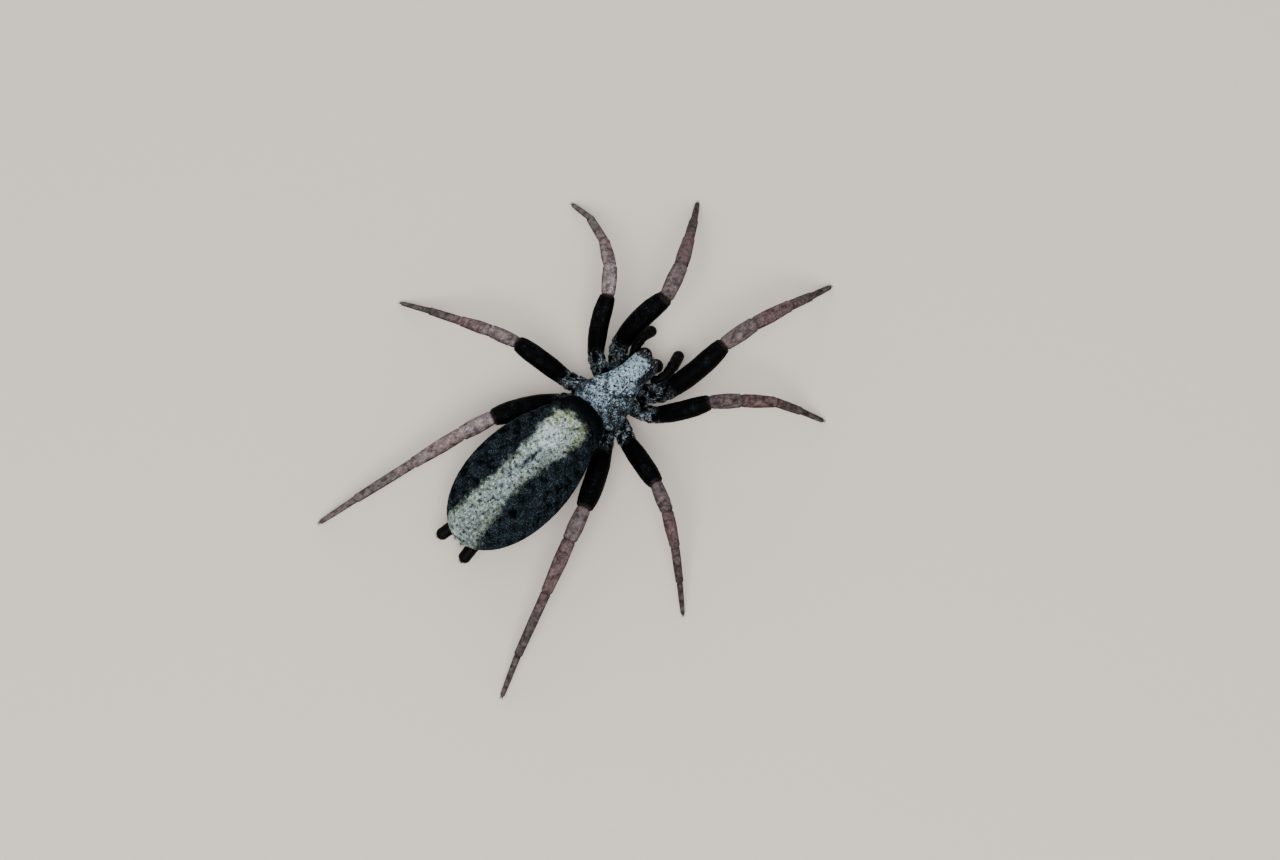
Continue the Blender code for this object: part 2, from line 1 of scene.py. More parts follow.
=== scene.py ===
import bpy
import numpy as np
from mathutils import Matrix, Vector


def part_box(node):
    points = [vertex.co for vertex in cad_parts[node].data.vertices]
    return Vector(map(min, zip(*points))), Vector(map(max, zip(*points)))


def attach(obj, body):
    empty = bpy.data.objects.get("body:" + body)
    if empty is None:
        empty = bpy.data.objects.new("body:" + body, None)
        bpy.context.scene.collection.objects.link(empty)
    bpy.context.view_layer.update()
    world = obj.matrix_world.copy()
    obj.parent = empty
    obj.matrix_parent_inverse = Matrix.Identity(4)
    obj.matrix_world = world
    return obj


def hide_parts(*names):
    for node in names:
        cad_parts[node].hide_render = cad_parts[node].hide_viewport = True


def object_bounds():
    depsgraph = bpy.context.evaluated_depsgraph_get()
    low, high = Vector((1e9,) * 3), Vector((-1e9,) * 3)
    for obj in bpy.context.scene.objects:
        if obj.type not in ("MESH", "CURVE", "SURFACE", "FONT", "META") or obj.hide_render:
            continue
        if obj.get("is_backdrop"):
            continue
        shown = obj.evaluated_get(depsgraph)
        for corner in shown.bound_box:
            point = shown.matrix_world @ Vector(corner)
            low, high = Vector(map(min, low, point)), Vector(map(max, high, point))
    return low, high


# %% [markdown]
# A ground spider, dressed over its solids
#
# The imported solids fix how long, high and wide every part of this spider is. This lesson lays
# the living surface over them: one skin for each part, worked out with numpy from the same few
# sizes, then thousands of short hairs sown over it. On the real animal the colours are mostly
# hair, so the skins stay dark and the pattern is painted on both.

# %% Load the frame and note its size
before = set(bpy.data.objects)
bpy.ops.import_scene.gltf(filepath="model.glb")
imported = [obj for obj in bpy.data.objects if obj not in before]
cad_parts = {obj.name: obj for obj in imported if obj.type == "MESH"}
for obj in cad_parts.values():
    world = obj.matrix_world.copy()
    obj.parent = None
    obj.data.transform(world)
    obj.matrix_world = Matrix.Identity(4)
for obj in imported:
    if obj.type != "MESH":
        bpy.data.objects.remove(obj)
CAD_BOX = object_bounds()
print("nodes in the frame:", len(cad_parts))

# %% [markdown]
# Where the animal's own measures lie
#
# The animal is described in millimetres from its own waist: the head points along -Y, the left
# side is +X, the floor is Z = 0. The frame is centred on the span of the legs instead, so one
# known point, the front of the abdomen, tells how far the two are apart. Every surface below is
# worked out in the animal's millimetres, and carried into the frame's metres once, at the end.
# Hair is drawn from one seeded source of random numbers, so each run gives the same animal.

# %% From the animal's millimetres to the frame's metres
MM = 0.001
ABDOMEN_FRONT = 0.22
abdomen_low, abdomen_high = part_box("abdomen")
WAIST = np.array([(abdomen_low.x + abdomen_high.x) / 2, abdomen_low.y - ABDOMEN_FRONT * MM, 0.0])
SIDES = {"left": 1.0, "right": -1.0}
SCREEN_GAMMA = 2.2
RANDOM = np.random.default_rng(438)


def in_frame(points):
    """Millimetres from the waist, as metres in the frame: scaled, then shifted."""
    return np.asarray(points) * MM + WAIST


def mirrored(points, side):
    """Points given for the left side, with X turned over for the right."""
    return np.asarray(points) * (SIDES[side], 1.0, 1.0)


def paint(red, green, blue):
    """A colour as a screen shows it, 0 to 255, turned into the linear light that a shader adds up."""
    return (np.array([red, green, blue]) / 255.0) ** SCREEN_GAMMA


print("waist in the frame, mm:", np.round(WAIST / MM, 2))

# %% [markdown]
# Shaping curves
#
# Four curves shape nearly everything. A smooth step passes from one size to another without a
# kink, and a bell raises one place. A superellipse end closes a form bluntly. A squared sine
# swells a round section towards a box. Ripples add waves that run in random directions, which
# is how ragged edges and mottling are drawn without any picture.
#
# Among the values below, a pair such as FIELD_WIDENS says where a step starts and where it is
# complete. A layer of ripples is its height, its size in millimetres and its seed. Spots are a
# size, a seed, and the levels of the ripple where a spot starts and is complete.


# %% Smooth steps, bells, blunt ends, squared sections and tables
def smooth_step(value, start, end):
    """0 before start and 1 after end, with 3t^2 - 2t^3 between them."""
    share = np.clip((value - start) / (end - start), 0.0, 1.0)
    return share**2 * (3.0 - 2.0 * share)


def bell(value, middle, spread):
    """1 at the middle and less on both sides: e to the minus square of the distance in spreads."""
    return np.exp(-(((value - middle) / spread) ** 2))


def rounded(share, bluntness):
    """(1 - |share|^b)^(1/b): full in the middle and closing at a share of 1."""
    return np.maximum(1.0 - np.clip(np.abs(share), 0.0, 1.0) ** bluntness, 0.0) ** (1.0 / bluntness)


def squared(value, squareness):
    """A sine or cosine raised to 2/squareness with its sign kept, which pushes a circle outwards."""
    return np.sign(value) * np.abs(value) ** (2.0 / squareness)


def through(value, table):
    """The sizes in a table read at their places, with straight lines between them."""
    return np.interp(value, list(table), list(table.values()))


print("a blunt end, half way out:", np.round(rounded(0.5, 4.0), 3))

# %% Ripples, spots and mixed colours
WAVE_COUNT, WAVE_LENGTHS = 28, (0.7, 1.5)


def ripple(points, size, seed):
    """The sum of plane waves about as long as size, in random directions, mostly from -1 to 1."""
    rng = np.random.default_rng(seed)
    ways = rng.normal(size=(WAVE_COUNT, 3))
    lengths = size * rng.uniform(*WAVE_LENGTHS, WAVE_COUNT)
    ways *= (2.0 * np.pi / lengths / np.linalg.norm(ways, axis=1))[:, None]
    starts = rng.uniform(0.0, 2.0 * np.pi, WAVE_COUNT)
    return np.sin(points @ ways.T + starts).sum(axis=-1) / np.sqrt(WAVE_COUNT)


def ripples(points, layers):
    """The sum of several ripples, each times its own height."""
    return sum(height * ripple(points, size, seed) for height, size, seed in layers)


def spots(points, size, seed, start, end):
    """A smooth step of a ripple: 1 where it stands above the end, 0 where it is under the start."""
    return smooth_step(ripple(points, size, seed), start, end)


def mixed(first, second, share):
    """Colours between first and second, for an array of shares."""
    share = np.clip(share, 0.0, 1.0)[..., None]
    return first * (1.0 - share) + second * share


# %% [markdown]
# From a grid of points to a closed mesh
#
# Each skin is a grid: rows run along the part and columns run round it. The first and last rows
# are drawn together into one point each, so the mesh is closed. Colours go into an attribute on
# the points, because the pattern belongs to the animal and not to a picture, and the grid's own
# row and column give the unwrap.


# %% A mesh from whole arrays
def mesh_from(name, points, corners, sizes, unwrap, map_name, colours):
    """Fills a mesh with whole arrays: points, the corners of every face, and each face's corner count."""
    mesh = bpy.data.meshes.new(name)
    mesh.vertices.add(len(points))
    mesh.vertices.foreach_set("co", in_frame(points).astype(np.float32).ravel())
    mesh.loops.add(len(corners))
    mesh.loops.foreach_set("vertex_index", corners.astype(np.int32))
    mesh.polygons.add(len(sizes))
    starts = np.concatenate([[0], np.cumsum(sizes)[:-1]])
    mesh.polygons.foreach_set("loop_start", starts.astype(np.int32))
    mesh.polygons.foreach_set("use_smooth", np.ones(len(sizes), bool))
    mesh.update(calc_edges=True)
    layer = mesh.uv_layers.new(name=map_name)
    layer.uv.foreach_set("vector", unwrap.astype(np.float32).ravel())
    shade = mesh.color_attributes.new("shade", "FLOAT_COLOR", "POINT")
    tints = np.column_stack([np.clip(colours, 0.0, 1.0), np.ones(len(points))])
    shade.data.foreach_set("color", tints.astype(np.float32).ravel())
    mesh.validate()
    piece = bpy.data.objects.new(name, mesh)
    bpy.context.scene.collection.objects.link(piece)
    return piece


# %% A closed skin from a grid
def skin_from(name, grid, colours):
    """A closed skin: quads between the inner rows, and a fan of triangles at each end point."""
    rows, columns = grid.shape[:2]
    inner = np.arange((rows - 2) * columns).reshape(rows - 2, columns)
    beside = np.roll(inner, -1, axis=1)
    first, last = inner.size, inner.size + 1
    quads = np.stack([inner[:-1], beside[:-1], beside[1:], inner[1:]], axis=-1).reshape(-1, 4)
    near = np.stack([np.full(columns, first), beside[0], inner[0]], axis=-1)
    far = np.stack([np.full(columns, last), inner[-1], beside[-1]], axis=-1)
    corners = np.concatenate([quads.ravel(), near.ravel(), far.ravel()])
    sizes = np.concatenate([np.full(len(quads), 4), np.full(2 * columns, 3)])
    start = np.arange(columns) / columns
    end = start + 1.0 / columns
    left, above = np.meshgrid(start, np.arange(1, rows - 2) / (rows - 1))
    right, below = left + 1.0 / columns, above + 1.0 / (rows - 1)
    quad_uv = np.stack([left, above, right, above, right, below, left, below], axis=-1).reshape(-1, 2)
    middle, row = (start + end) / 2, np.full(columns, 1.0 / (rows - 1))
    near_uv = np.stack([middle, 0 * row, end, row, start, row], axis=-1).reshape(-1, 2)
    far_uv = np.stack([middle, 1 + 0 * row, start, 1 - row, end, 1 - row], axis=-1).reshape(-1, 2)
    points = np.concatenate([grid[1:-1].reshape(-1, 3), grid[0, :1], grid[-1, :1]])
    tints = np.concatenate([colours[1:-1].reshape(-1, 3), colours[0, :1], colours[-1, :1]])
    unwrap = np.concatenate([quad_uv, near_uv, far_uv])
    print(f"{name}: {len(points)} points, {len(sizes)} faces")
    return mesh_from(name, points, corners, sizes, unwrap, "unwrap", tints)


# %% Angles and places for body forms
def body_angles(rows, columns):
    """Two angles for a body form: 0 to pi from its front end to its rear, and once round it."""
    along = np.linspace(0.0, np.pi, rows)[:, None]
    around = np.arange(columns)[None, :] * 2.0 * np.pi / columns
    return np.broadcast_arrays(along, around)


def between_ends(along, start, end):
    """Y from start to end for an angle along a form, as the cosine goes from 1 to -1."""
    return start + (end - start) * (1.0 - np.cos(along)) / 2.0


# %% [markdown]
# Sowing hair
#
# Hair covers this spider nearly everywhere; eyes, claws, fangs, waist and mouth stay bare. Roots
# are drawn over a skin by area, so a coarse part of its grid isn't sown more thinly than a fine
# one, and each keeps its place on the skin's own unwrap.


# %% Directions on a skin
def unit(vectors):
    """Vectors brought to length 1."""
    return vectors / np.maximum(np.linalg.norm(vectors, axis=-1, keepdims=True), 1e-9)


def normals_of(grid):
    """Outward directions on a grid: the cross product of its ways along and round."""
    along = np.gradient(grid, axis=0)
    around = np.roll(grid, -1, axis=1) - np.roll(grid, 1, axis=1)
    normals = unit(np.cross(around, along))
    normals[0], normals[-1] = normals[1].mean(axis=0), normals[-2].mean(axis=0)
    return unit(normals)


def blended(values, row, column, down, across):
    """Values on a grid read between its points: two blends across, then one down."""
    beside = (column + 1) % values.shape[1]
    above = values[row, column] * (1 - across) + values[row, beside] * across
    below = values[row + 1, column] * (1 - across) + values[row + 1, beside] * across
    return above * (1 - down) + below * down


# %% Sowing roots
def sow(grid, count, weight):
    """Roots in cells picked by area times weight, then anywhere inside the cell."""
    beside = np.roll(grid, -1, axis=1)
    area = np.linalg.norm(np.cross(beside[:-1] - grid[:-1], grid[1:] - grid[:-1]), axis=-1)
    chance = np.cumsum((area * weight[:-1]).ravel())
    cell = np.minimum(np.searchsorted(chance, RANDOM.uniform(0.0, chance[-1], count)), chance.size - 1)
    row, column = np.unravel_index(cell, area.shape)
    across, down = RANDOM.uniform(size=(count, 1)), RANDOM.uniform(size=(count, 1))
    u, v = (column + across[:, 0]) / grid.shape[1], (row + down[:, 0]) / (grid.shape[0] - 1)
    return {
        "root": blended(grid, row, column, down, across),
        "normal": unit(blended(normals_of(grid), row, column, down, across)),
        "lie": unit(blended(np.gradient(grid, axis=0), row, column, down, across)),
        "map": np.column_stack([u, v]),
    }


def lottery(count, share):
    """True for a random share of the hairs."""
    return RANDOM.uniform(size=count) < share


# %% [markdown]
# A hair is a solid blade with three long faces: broad and flat where it lies down, pointed at
# its tip, ten triangles in all. Its root is sunk into the skin and its free half bends back
# down, so that the coat lies close. Its shape is its length and width in millimetres, its lift
# from the skin in radians, and how far it may sway aside. Each blade gets a small patch of the
# coat's map at its root's place, so that its colour can be kept there.

# %% Blades from roots
BLADE_FACES = np.array([[0, 1, 4, 3], [1, 2, 5, 4], [2, 0, 3, 5]])
BLADE_ENDS = np.array([[0, 2, 1], [3, 4, 6], [4, 5, 6], [5, 3, 6]])
BLADE_MAP = np.array([[0, 0], [0.5, 0], [1, 0], [0, 0.5], [0.5, 0.5], [1, 0.5], [0.5, 1]])
BLADE_POINTS, BLADE_TRIANGLES, MAP_PATCH = len(BLADE_MAP), 10, 0.003
SUNK_SHARE, RIDGE_SHARE, MIDDLE_SHARE, TIP_LIFT = 0.4, 0.45, 0.8, 0.3
LENGTH_DRAW, WIDTH_DRAW, LIFT_DRAW = (0.7, 1.25), (0.75, 1.2), (0.6, 1.4)


def coat_from(name, roots, shape, colours):
    """Blades from roots: a base ring, a lifted middle ring, a tip that bends back, none under the floor."""
    count = len(roots["root"])
    length, width, lift, sway = shape
    length = np.broadcast_to(length, count) * RANDOM.uniform(*LENGTH_DRAW, count)
    width = np.broadcast_to(width, count) * RANDOM.uniform(*WIDTH_DRAW, count)
    lift = np.broadcast_to(lift, count) * RANDOM.uniform(*LIFT_DRAW, count)
    normal = roots["normal"]
    lie = unit(roots["lie"] - normal * (roots["lie"] * normal).sum(-1, keepdims=True))
    turn = (RANDOM.normal(size=count) * sway)[:, None]
    lie = lie * np.cos(turn) + np.cross(normal, lie) * np.sin(turn)
    across = np.cross(normal, lie)
    half, bend = (length / 2)[:, None], lift[:, None]
    base = roots["root"] - normal * (width * SUNK_SHARE)[:, None]
    middle = roots["root"] + (lie * np.cos(bend) + normal * np.sin(bend)) * half
    tip = middle + (lie * np.cos(TIP_LIFT * bend) + normal * np.sin(TIP_LIFT * bend)) * half
    edge, ridge = across * (width / 2)[:, None], normal * (width * RIDGE_SHARE)[:, None]
    root_ring = [base + edge, base + ridge, base - edge]
    middle_ring = [middle + MIDDLE_SHARE * way for way in (edge, ridge, -edge)]
    points = np.stack([*root_ring, *middle_ring, tip], axis=1).reshape(-1, 3)
    points[:, 2] = np.maximum(points[:, 2], 0.0)
    offsets = (np.arange(count) * BLADE_POINTS)[:, None, None]
    corners = np.concatenate([(BLADE_FACES + offsets).ravel(), (BLADE_ENDS + offsets).ravel()])
    sizes = np.repeat([4, 3], [len(BLADE_FACES) * count, len(BLADE_ENDS) * count])
    place = np.clip(roots["map"], MAP_PATCH, 1.0 - MAP_PATCH)[:, None, :] + MAP_PATCH * (BLADE_MAP - 0.5)
    unwrap = np.concatenate([place[:, BLADE_FACES].reshape(-1, 2), place[:, BLADE_ENDS].reshape(-1, 2)])
    tints = np.repeat(np.broadcast_to(colours, (count, 3)), BLADE_POINTS, axis=0)
    print(f"{name}: {count} hairs, {BLADE_TRIANGLES * count} triangles")
    return mesh_from(name, points, corners, sizes, unwrap, "OFBake", tints)


# %% [markdown]
# Finishes
#
# Every finish makes the painted colours cloudy, and those of the skins have grain as well, so
# these two effects are node groups. One changes the colour's brightness at a chosen size. The
# other raises the fine lengthwise grain that flat hair and cuticle leave, as a height for a
# bump. The shader itself stays in each material, with its plain numbers set on its sockets.

# %% Building node groups
COLOUR, NUMBER = "NodeSocketColor", "NodeSocketFloat"
NOISE_LOW, NOISE_HIGH, NOISE_DETAIL = 0.25, 0.75, 3.0
PORE_SHARE, GRAIN_HEIGHT = 0.4, 0.02


def new_group(name, inputs, outputs):
    """A shader node group with its named sockets, and its two end nodes."""
    group = bpy.data.node_groups.new(name, "ShaderNodeTree")
    for label, kind, value in inputs:
        group.interface.new_socket(label, in_out="INPUT", socket_type=kind).default_value = value
    for label, kind in outputs:
        group.interface.new_socket(label, in_out="OUTPUT", socket_type=kind)
    return group, group.nodes.new("NodeGroupInput"), group.nodes.new("NodeGroupOutput")


def set_inputs(node, values):
    """Gives a node's sockets their plain numbers, each by its name."""
    for label, value in values.items():
        node.inputs[label].default_value = value


def maths(group, kind, operation, place=None, value=None):
    """A maths node of a kind, with one of its plain numbers set where a place is given."""
    node = group.nodes.new(kind)
    node.operation = operation
    if place is not None:
        node.inputs[place].default_value = value
    return node


def sized_texture(group, kind, size):
    """A texture on Object coordinates, at a scale of one over the size."""
    where = group.nodes.new("ShaderNodeTexCoord")
    closeness = maths(group, "ShaderNodeMath", "DIVIDE", 0, 1.0)
    texture = group.nodes.new(kind)
    group.links.new(where.outputs["Object"], texture.inputs["Vector"])
    group.links.new(size, closeness.inputs[1])
    group.links.new(closeness.outputs[0], texture.inputs["Scale"])
    return texture


# %% A group that makes a colour cloudy
def cloudy_group():
    """Colour times a noise between 1 - Depth and 1 + Depth, on Object coordinates."""
    inputs = [("Colour", COLOUR, (0.5, 0.5, 0.5, 1.0)), ("Size", NUMBER, 0.0001), ("Depth", NUMBER, 0.3)]
    group, start, end = new_group("cloudy colour", inputs, [("Colour", COLOUR)])
    noise = sized_texture(group, "ShaderNodeTexNoise", start.outputs["Size"])
    noise.inputs["Detail"].default_value = NOISE_DETAIL
    centred = group.nodes.new("ShaderNodeMapRange")
    set_inputs(centred, {"From Min": NOISE_LOW, "From Max": NOISE_HIGH, "To Min": -1.0})
    depth = maths(group, "ShaderNodeMath", "MULTIPLY_ADD", 2, 1.0)
    scaled = maths(group, "ShaderNodeVectorMath", "SCALE")
    link = group.links.new
    link(noise.outputs[0], centred.inputs["Value"])
    link(centred.outputs["Result"], depth.inputs[0])
    link(start.outputs["Depth"], depth.inputs[1])
    link(start.outputs["Colour"], scaled.inputs[0])
    link(depth.outputs[0], scaled.inputs["Scale"])
    link(scaled.outputs[0], end.inputs["Colour"])
    return group


# %% A group that raises lengthwise grain
def grain_group():
    """A height from noise drawn out along the part, plus rounded pores on Object coordinates."""
    inputs = [("Across", NUMBER, 120.0), ("Along", NUMBER, 40.0), ("Pores", NUMBER, 0.00003)]
    group, start, end = new_group("lengthwise grain", inputs, [("Height", NUMBER)])
    unwrap = group.nodes.new("ShaderNodeUVMap")
    unwrap.uv_map = "unwrap"
    stretch = group.nodes.new("ShaderNodeCombineXYZ")
    scaled = maths(group, "ShaderNodeVectorMath", "MULTIPLY")
    streaks = group.nodes.new("ShaderNodeTexNoise")
    streaks.inputs["Scale"].default_value = 1.0
    pores = sized_texture(group, "ShaderNodeTexVoronoi", start.outputs["Pores"])
    total = maths(group, "ShaderNodeMath", "MULTIPLY_ADD", 1, PORE_SHARE)
    link = group.links.new
    link(start.outputs["Across"], stretch.inputs["X"])
    link(start.outputs["Along"], stretch.inputs["Y"])
    link(unwrap.outputs[0], scaled.inputs[0])
    link(stretch.outputs[0], scaled.inputs[1])
    link(scaled.outputs[0], streaks.inputs["Vector"])
    link(pores.outputs["Distance"], total.inputs[0])
    link(streaks.outputs[0], total.inputs[2])
    link(total.outputs[0], end.inputs["Height"])
    return group


CLOUDY = cloudy_group()
GRAIN = grain_group()
print("node groups:", CLOUDY.name, "and", GRAIN.name)

# %% [markdown]
# A finish is its roughness and its share of mirror light, then the size and depth of its clouds.
# A skin's finish has grain as well: how many waves run across and along the unwrap, the size of
# the pores, and the strength of the bump. Eyes, claws and fangs also have a clear coat.


# %% A finish from painted colours
def finish(name, roughness, specular, cloud_size, cloud_depth, grain=None, clear_coat=0.0):
    """A Principled material whose colour is the painted one, made cloudy, with grain as a bump."""
    material = bpy.data.materials.new(name)
    material.use_nodes = True
    nodes, link = material.node_tree.nodes, material.node_tree.links.new
    shader = nodes["Principled BSDF"]
    set_inputs(shader, {"Roughness": roughness, "Specular IOR Level": specular, "Coat Weight": clear_coat})
    shade = nodes.new("ShaderNodeAttribute")
    shade.attribute_name = "shade"
    clouds = nodes.new("ShaderNodeGroup")
    clouds.node_tree = CLOUDY
    set_inputs(clouds, {"Size": cloud_size * MM, "Depth": cloud_depth})
    link(shade.outputs["Color"], clouds.inputs["Colour"])
    link(clouds.outputs["Colour"], shader.inputs["Base Color"])
    if grain is not None:
        across, along, pores, strength = grain
        streaks = nodes.new("ShaderNodeGroup")
        streaks.node_tree = GRAIN
        set_inputs(streaks, {"Across": across, "Along": along, "Pores": pores * MM})
        bump = nodes.new("ShaderNodeBump")
        set_inputs(bump, {"Strength": strength, "Distance": GRAIN_HEIGHT * MM})
        link(streaks.outputs["Height"], bump.inputs["Height"])
        link(bump.outputs["Normal"], shader.inputs["Normal"])
    return material


SHIELD_SKIN = finish("shield cuticle", 0.55, 0.18, 0.12, 0.35, (60.0, 40.0, 0.045, 0.5))
ABDOMEN_SKIN = finish("abdomen skin", 0.75, 0.03, 0.10, 0.35, (260.0, 90.0, 0.05, 0.5))
LEG_SKIN = finish("leg cuticle", 0.60, 0.04, 0.10, 0.30, (70.0, 60.0, 0.035, 0.6))
BLACK_SKIN = finish("black cuticle", 0.50, 0.08, 0.10, 0.30, (50.0, 40.0, 0.035, 0.5))
PALE_HAIR = finish("pale hair", 0.60, 0.25, 0.09, 0.35)
DARK_HAIR = finish("dark hair", 0.70, 0.02, 0.18, 0.40)
LEG_HAIR = finish("leg hair", 0.50, 0.25, 0.12, 0.30)
GLOSSY_EYE = finish("eye", 0.06, 0.50, 0.30, 0.05, clear_coat=1.0)
POLISHED_HORN = finish("claw and fang", 0.18, 0.50, 0.06, 0.25, clear_coat=0.5)
print("finishes:", len(bpy.data.materials))


# %% Dressing a piece
def dress(piece, material, slot, *nodes):
    """Gives a piece its finish, lets it ride with the animal and hides the solids it stands for."""
    piece.data.materials.append(material)
    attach(piece, "root")
    if nodes:
        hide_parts(*nodes)


def lay_skin(name, grid, colours, material, slot, *nodes):
    """A skin over a grid, in one colour or many, dressed."""
    dress(skin_from(name, grid, np.broadcast_to(colours, grid.shape)), material, slot, *nodes)


# %% [markdown]
# The carapace
#
# The shield over head and thorax is one hard plate: a narrow blunt head that widens to a round,
# low thorax, with a short pit in its middle and grooves that fan out to the leg bases. It is a
# sphere's grid whose width, rise and ends follow the body's length, the same recipe as in the
# solids, set a hair's depth inside them.

# %% Carapace form
SHIELD_COAT = 0.02
HEAD_FRONT, HEAD_BACK = -2.62, -1.75
THORAX_FRONT, CARAPACE_REAR = 0.02, 0.46
HEAD_HALF_WIDTH, THORAX_HALF_WIDTH = 0.55, 1.08
RIM_HEIGHT, HEAD_RISE, THORAX_RISE, UNDERSIDE = 1.62, 0.66, 0.64, 0.09
FRONT_BLUNTNESS, REAR_BLUNTNESS, REAR_SLOPE = 4.5, 2.5, 0.40
ROOF_SQUARENESS, UNDERSIDE_SQUARENESS = 2.3, 3.5
FOVEA_Y, FOVEA_HALF_LENGTH, FOVEA_WIDTH = -0.30, 0.22, 0.05
FURROW_ANGLES, FURROW_AHEAD = (38.0, 78.0, 112.0, 146.0), 1.5
FURROW_DEPTH, FURROW_WIDTH, FOVEA_IN_FURROWS = 0.055, 0.07, 1.6
FURROW_STARTS, FURROW_ENDS = (0.2, 0.5), (1.0, 1.25)


def furrows(x, y, width):
    """1 along a groove on each bearing from the pit: a bell of the distance beside it."""
    reach = np.hypot(x, y - FOVEA_Y)
    bearing = np.degrees(np.arctan2(np.abs(x), FOVEA_Y - y))
    fade = smooth_step(reach, *FURROW_STARTS) * (1.0 - smooth_step(reach, *FURROW_ENDS))
    turns = [np.radians(bearing - angle) for angle in FURROW_ANGLES]
    lines = [bell(reach * np.sin(turn), 0.0, width) * (np.abs(turn) < FURROW_AHEAD) for turn in turns]
    return fade * sum(lines)


def carapace_grid(rows=190, columns=150):
    """Width and rise step from head to thorax, times a blunt end each way; the roof slopes to the rear."""
    along, around = body_angles(rows, columns)
    side, up = np.cos(around), np.sin(around)
    front, rear = HEAD_FRONT + SHIELD_COAT, CARAPACE_REAR - SHIELD_COAT
    y = between_ends(along, front, rear)
    widening = smooth_step(y, HEAD_BACK, THORAX_FRONT)
    front_end = rounded(np.maximum(HEAD_BACK - y, 0.0) / (HEAD_BACK - front), FRONT_BLUNTNESS)
    rear_end = rounded(np.maximum(y - THORAX_FRONT, 0.0) / (rear - THORAX_FRONT), REAR_BLUNTNESS)
    ends = front_end * rear_end
    width = (HEAD_HALF_WIDTH + (THORAX_HALF_WIDTH - HEAD_HALF_WIDTH) * widening - SHIELD_COAT) * ends
    rise = (HEAD_RISE + (THORAX_RISE - HEAD_RISE) * widening - SHIELD_COAT) * ends
    rise = rise * (1.0 - REAR_SLOPE * smooth_step(y, FOVEA_Y, CARAPACE_REAR))
    x = width * np.where(up > 0, squared(side, ROOF_SQUARENESS), squared(side, UNDERSIDE_SQUARENESS))
    pit = FOVEA_IN_FURROWS * bell(x, 0.0, FOVEA_WIDTH) * bell(y, FOVEA_Y, FOVEA_HALF_LENGTH)
    roof = rise * squared(up, ROOF_SQUARENESS) - FURROW_DEPTH * (furrows(x, y, FURROW_WIDTH) + pit) * up
    z = RIM_HEIGHT + np.where(up > 0, roof, UNDERSIDE * ends * squared(up, UNDERSIDE_SQUARENESS))
    return np.stack([x, y, z], axis=-1)


carapace_surface = carapace_grid()
print("shield, mm:", np.round(np.ptp(carapace_surface, axis=(0, 1)), 2))

# %% [markdown]
# The eight eyes sit close together on the front of the head, in two rows. The solids hold their
# places, so they are read from there, and the hair around them is kept off their lenses.

# %% Where the eyes are
EYE_ROWS = ("front_median", "front_lateral", "rear_median", "rear_lateral")
EYE_NODES = [f"eye_{side_name}_{row}" for side_name in SIDES for row in EYE_ROWS]
EYE_BOXES = [[(np.array(corner) - WAIST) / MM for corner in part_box(node)] for node in EYE_NODES]
EYE_CENTRES = np.array([(low + high) / 2 for low, high in EYE_BOXES])
EYE_RADII = np.array([(high - low).max() / 2 for low, high in EYE_BOXES])
EYE_RIM = (1.25, 1.6)


def clear_of_eyes(points):
    """0 on the lenses and 1 beyond a narrow rim round them, by the distance in eye radii."""
    away = np.linalg.norm(points[..., None, :] - EYE_CENTRES, axis=-1) / EYE_RADII
    return smooth_step(away.min(axis=-1), *EYE_RIM)


print("eye radii, mm:", np.round(EYE_RADII[:4], 3))

# %% [markdown]
# The shield is black under a flat coat of bluish white hair, closest behind the eyes and along
# the middle, and full of bright and dark flecks. Towards the rim it breaks into dull grey wedges
# with the dark grooves between them. On the right the pale field is narrower and duller, which
# is painted shade. The same mask tints the skin and decides where hair grows and how pale it is.

# %% Carapace markings
SHIELD_BLACK, SHIELD_GREY, SKIN_PALENESS = paint(4, 4, 6), paint(64, 74, 82), 0.6
EYE_FIELD, EYE_FIELD_SHARE = (-2.46, -2.30), 0.12
FIELD_HALF, FIELD_WIDENING, FIELD_WIDENS, FIELD_EDGE = 0.42, 0.43, (-1.75, -0.95), (0.85, 1.15)
FIELD_LEAN, LEAN_FADES = 0.08, (-1.6, -0.4)
# Painted shade on the right side: there the pale field narrows and its hair is duller.
RIGHT_SHADE_NARROWING, RIGHT_SHADE_FROM = 0.40, (-1.3, -0.5)
WEDGES, WEDGES_FROM, WEDGES_END = 0.38, (-1.9, -1.2), (0.80, 1.05)
BRIGHTNESS, REAR_LOSS, RIGHT_SHADE = 0.78, 0.15, 0.18
REAR_DULLS, RIGHT_SHADE_SPAN = (-1.5, -0.3), (-0.1, 0.5)
STREAK, STREAK_SLANT, STREAK_ORIGIN, STREAK_WIDTH, STREAK_FADES = 0.26, 0.23, -2.3, 0.22, (-0.1, 0.3)
BLOTCHES = ((0.17, 0.28, 11), (0.14, 0.11, 12))
PITS, PIT_SPOTS = 0.80, (0.12, 13, 0.6, 1.1)
SPARKS, SPARK_SPOTS = 0.40, (0.12, 14, 0.7, 1.2)
GROOVE_DARKNESS, GROOVE_BREADTH = 0.45, 1.2


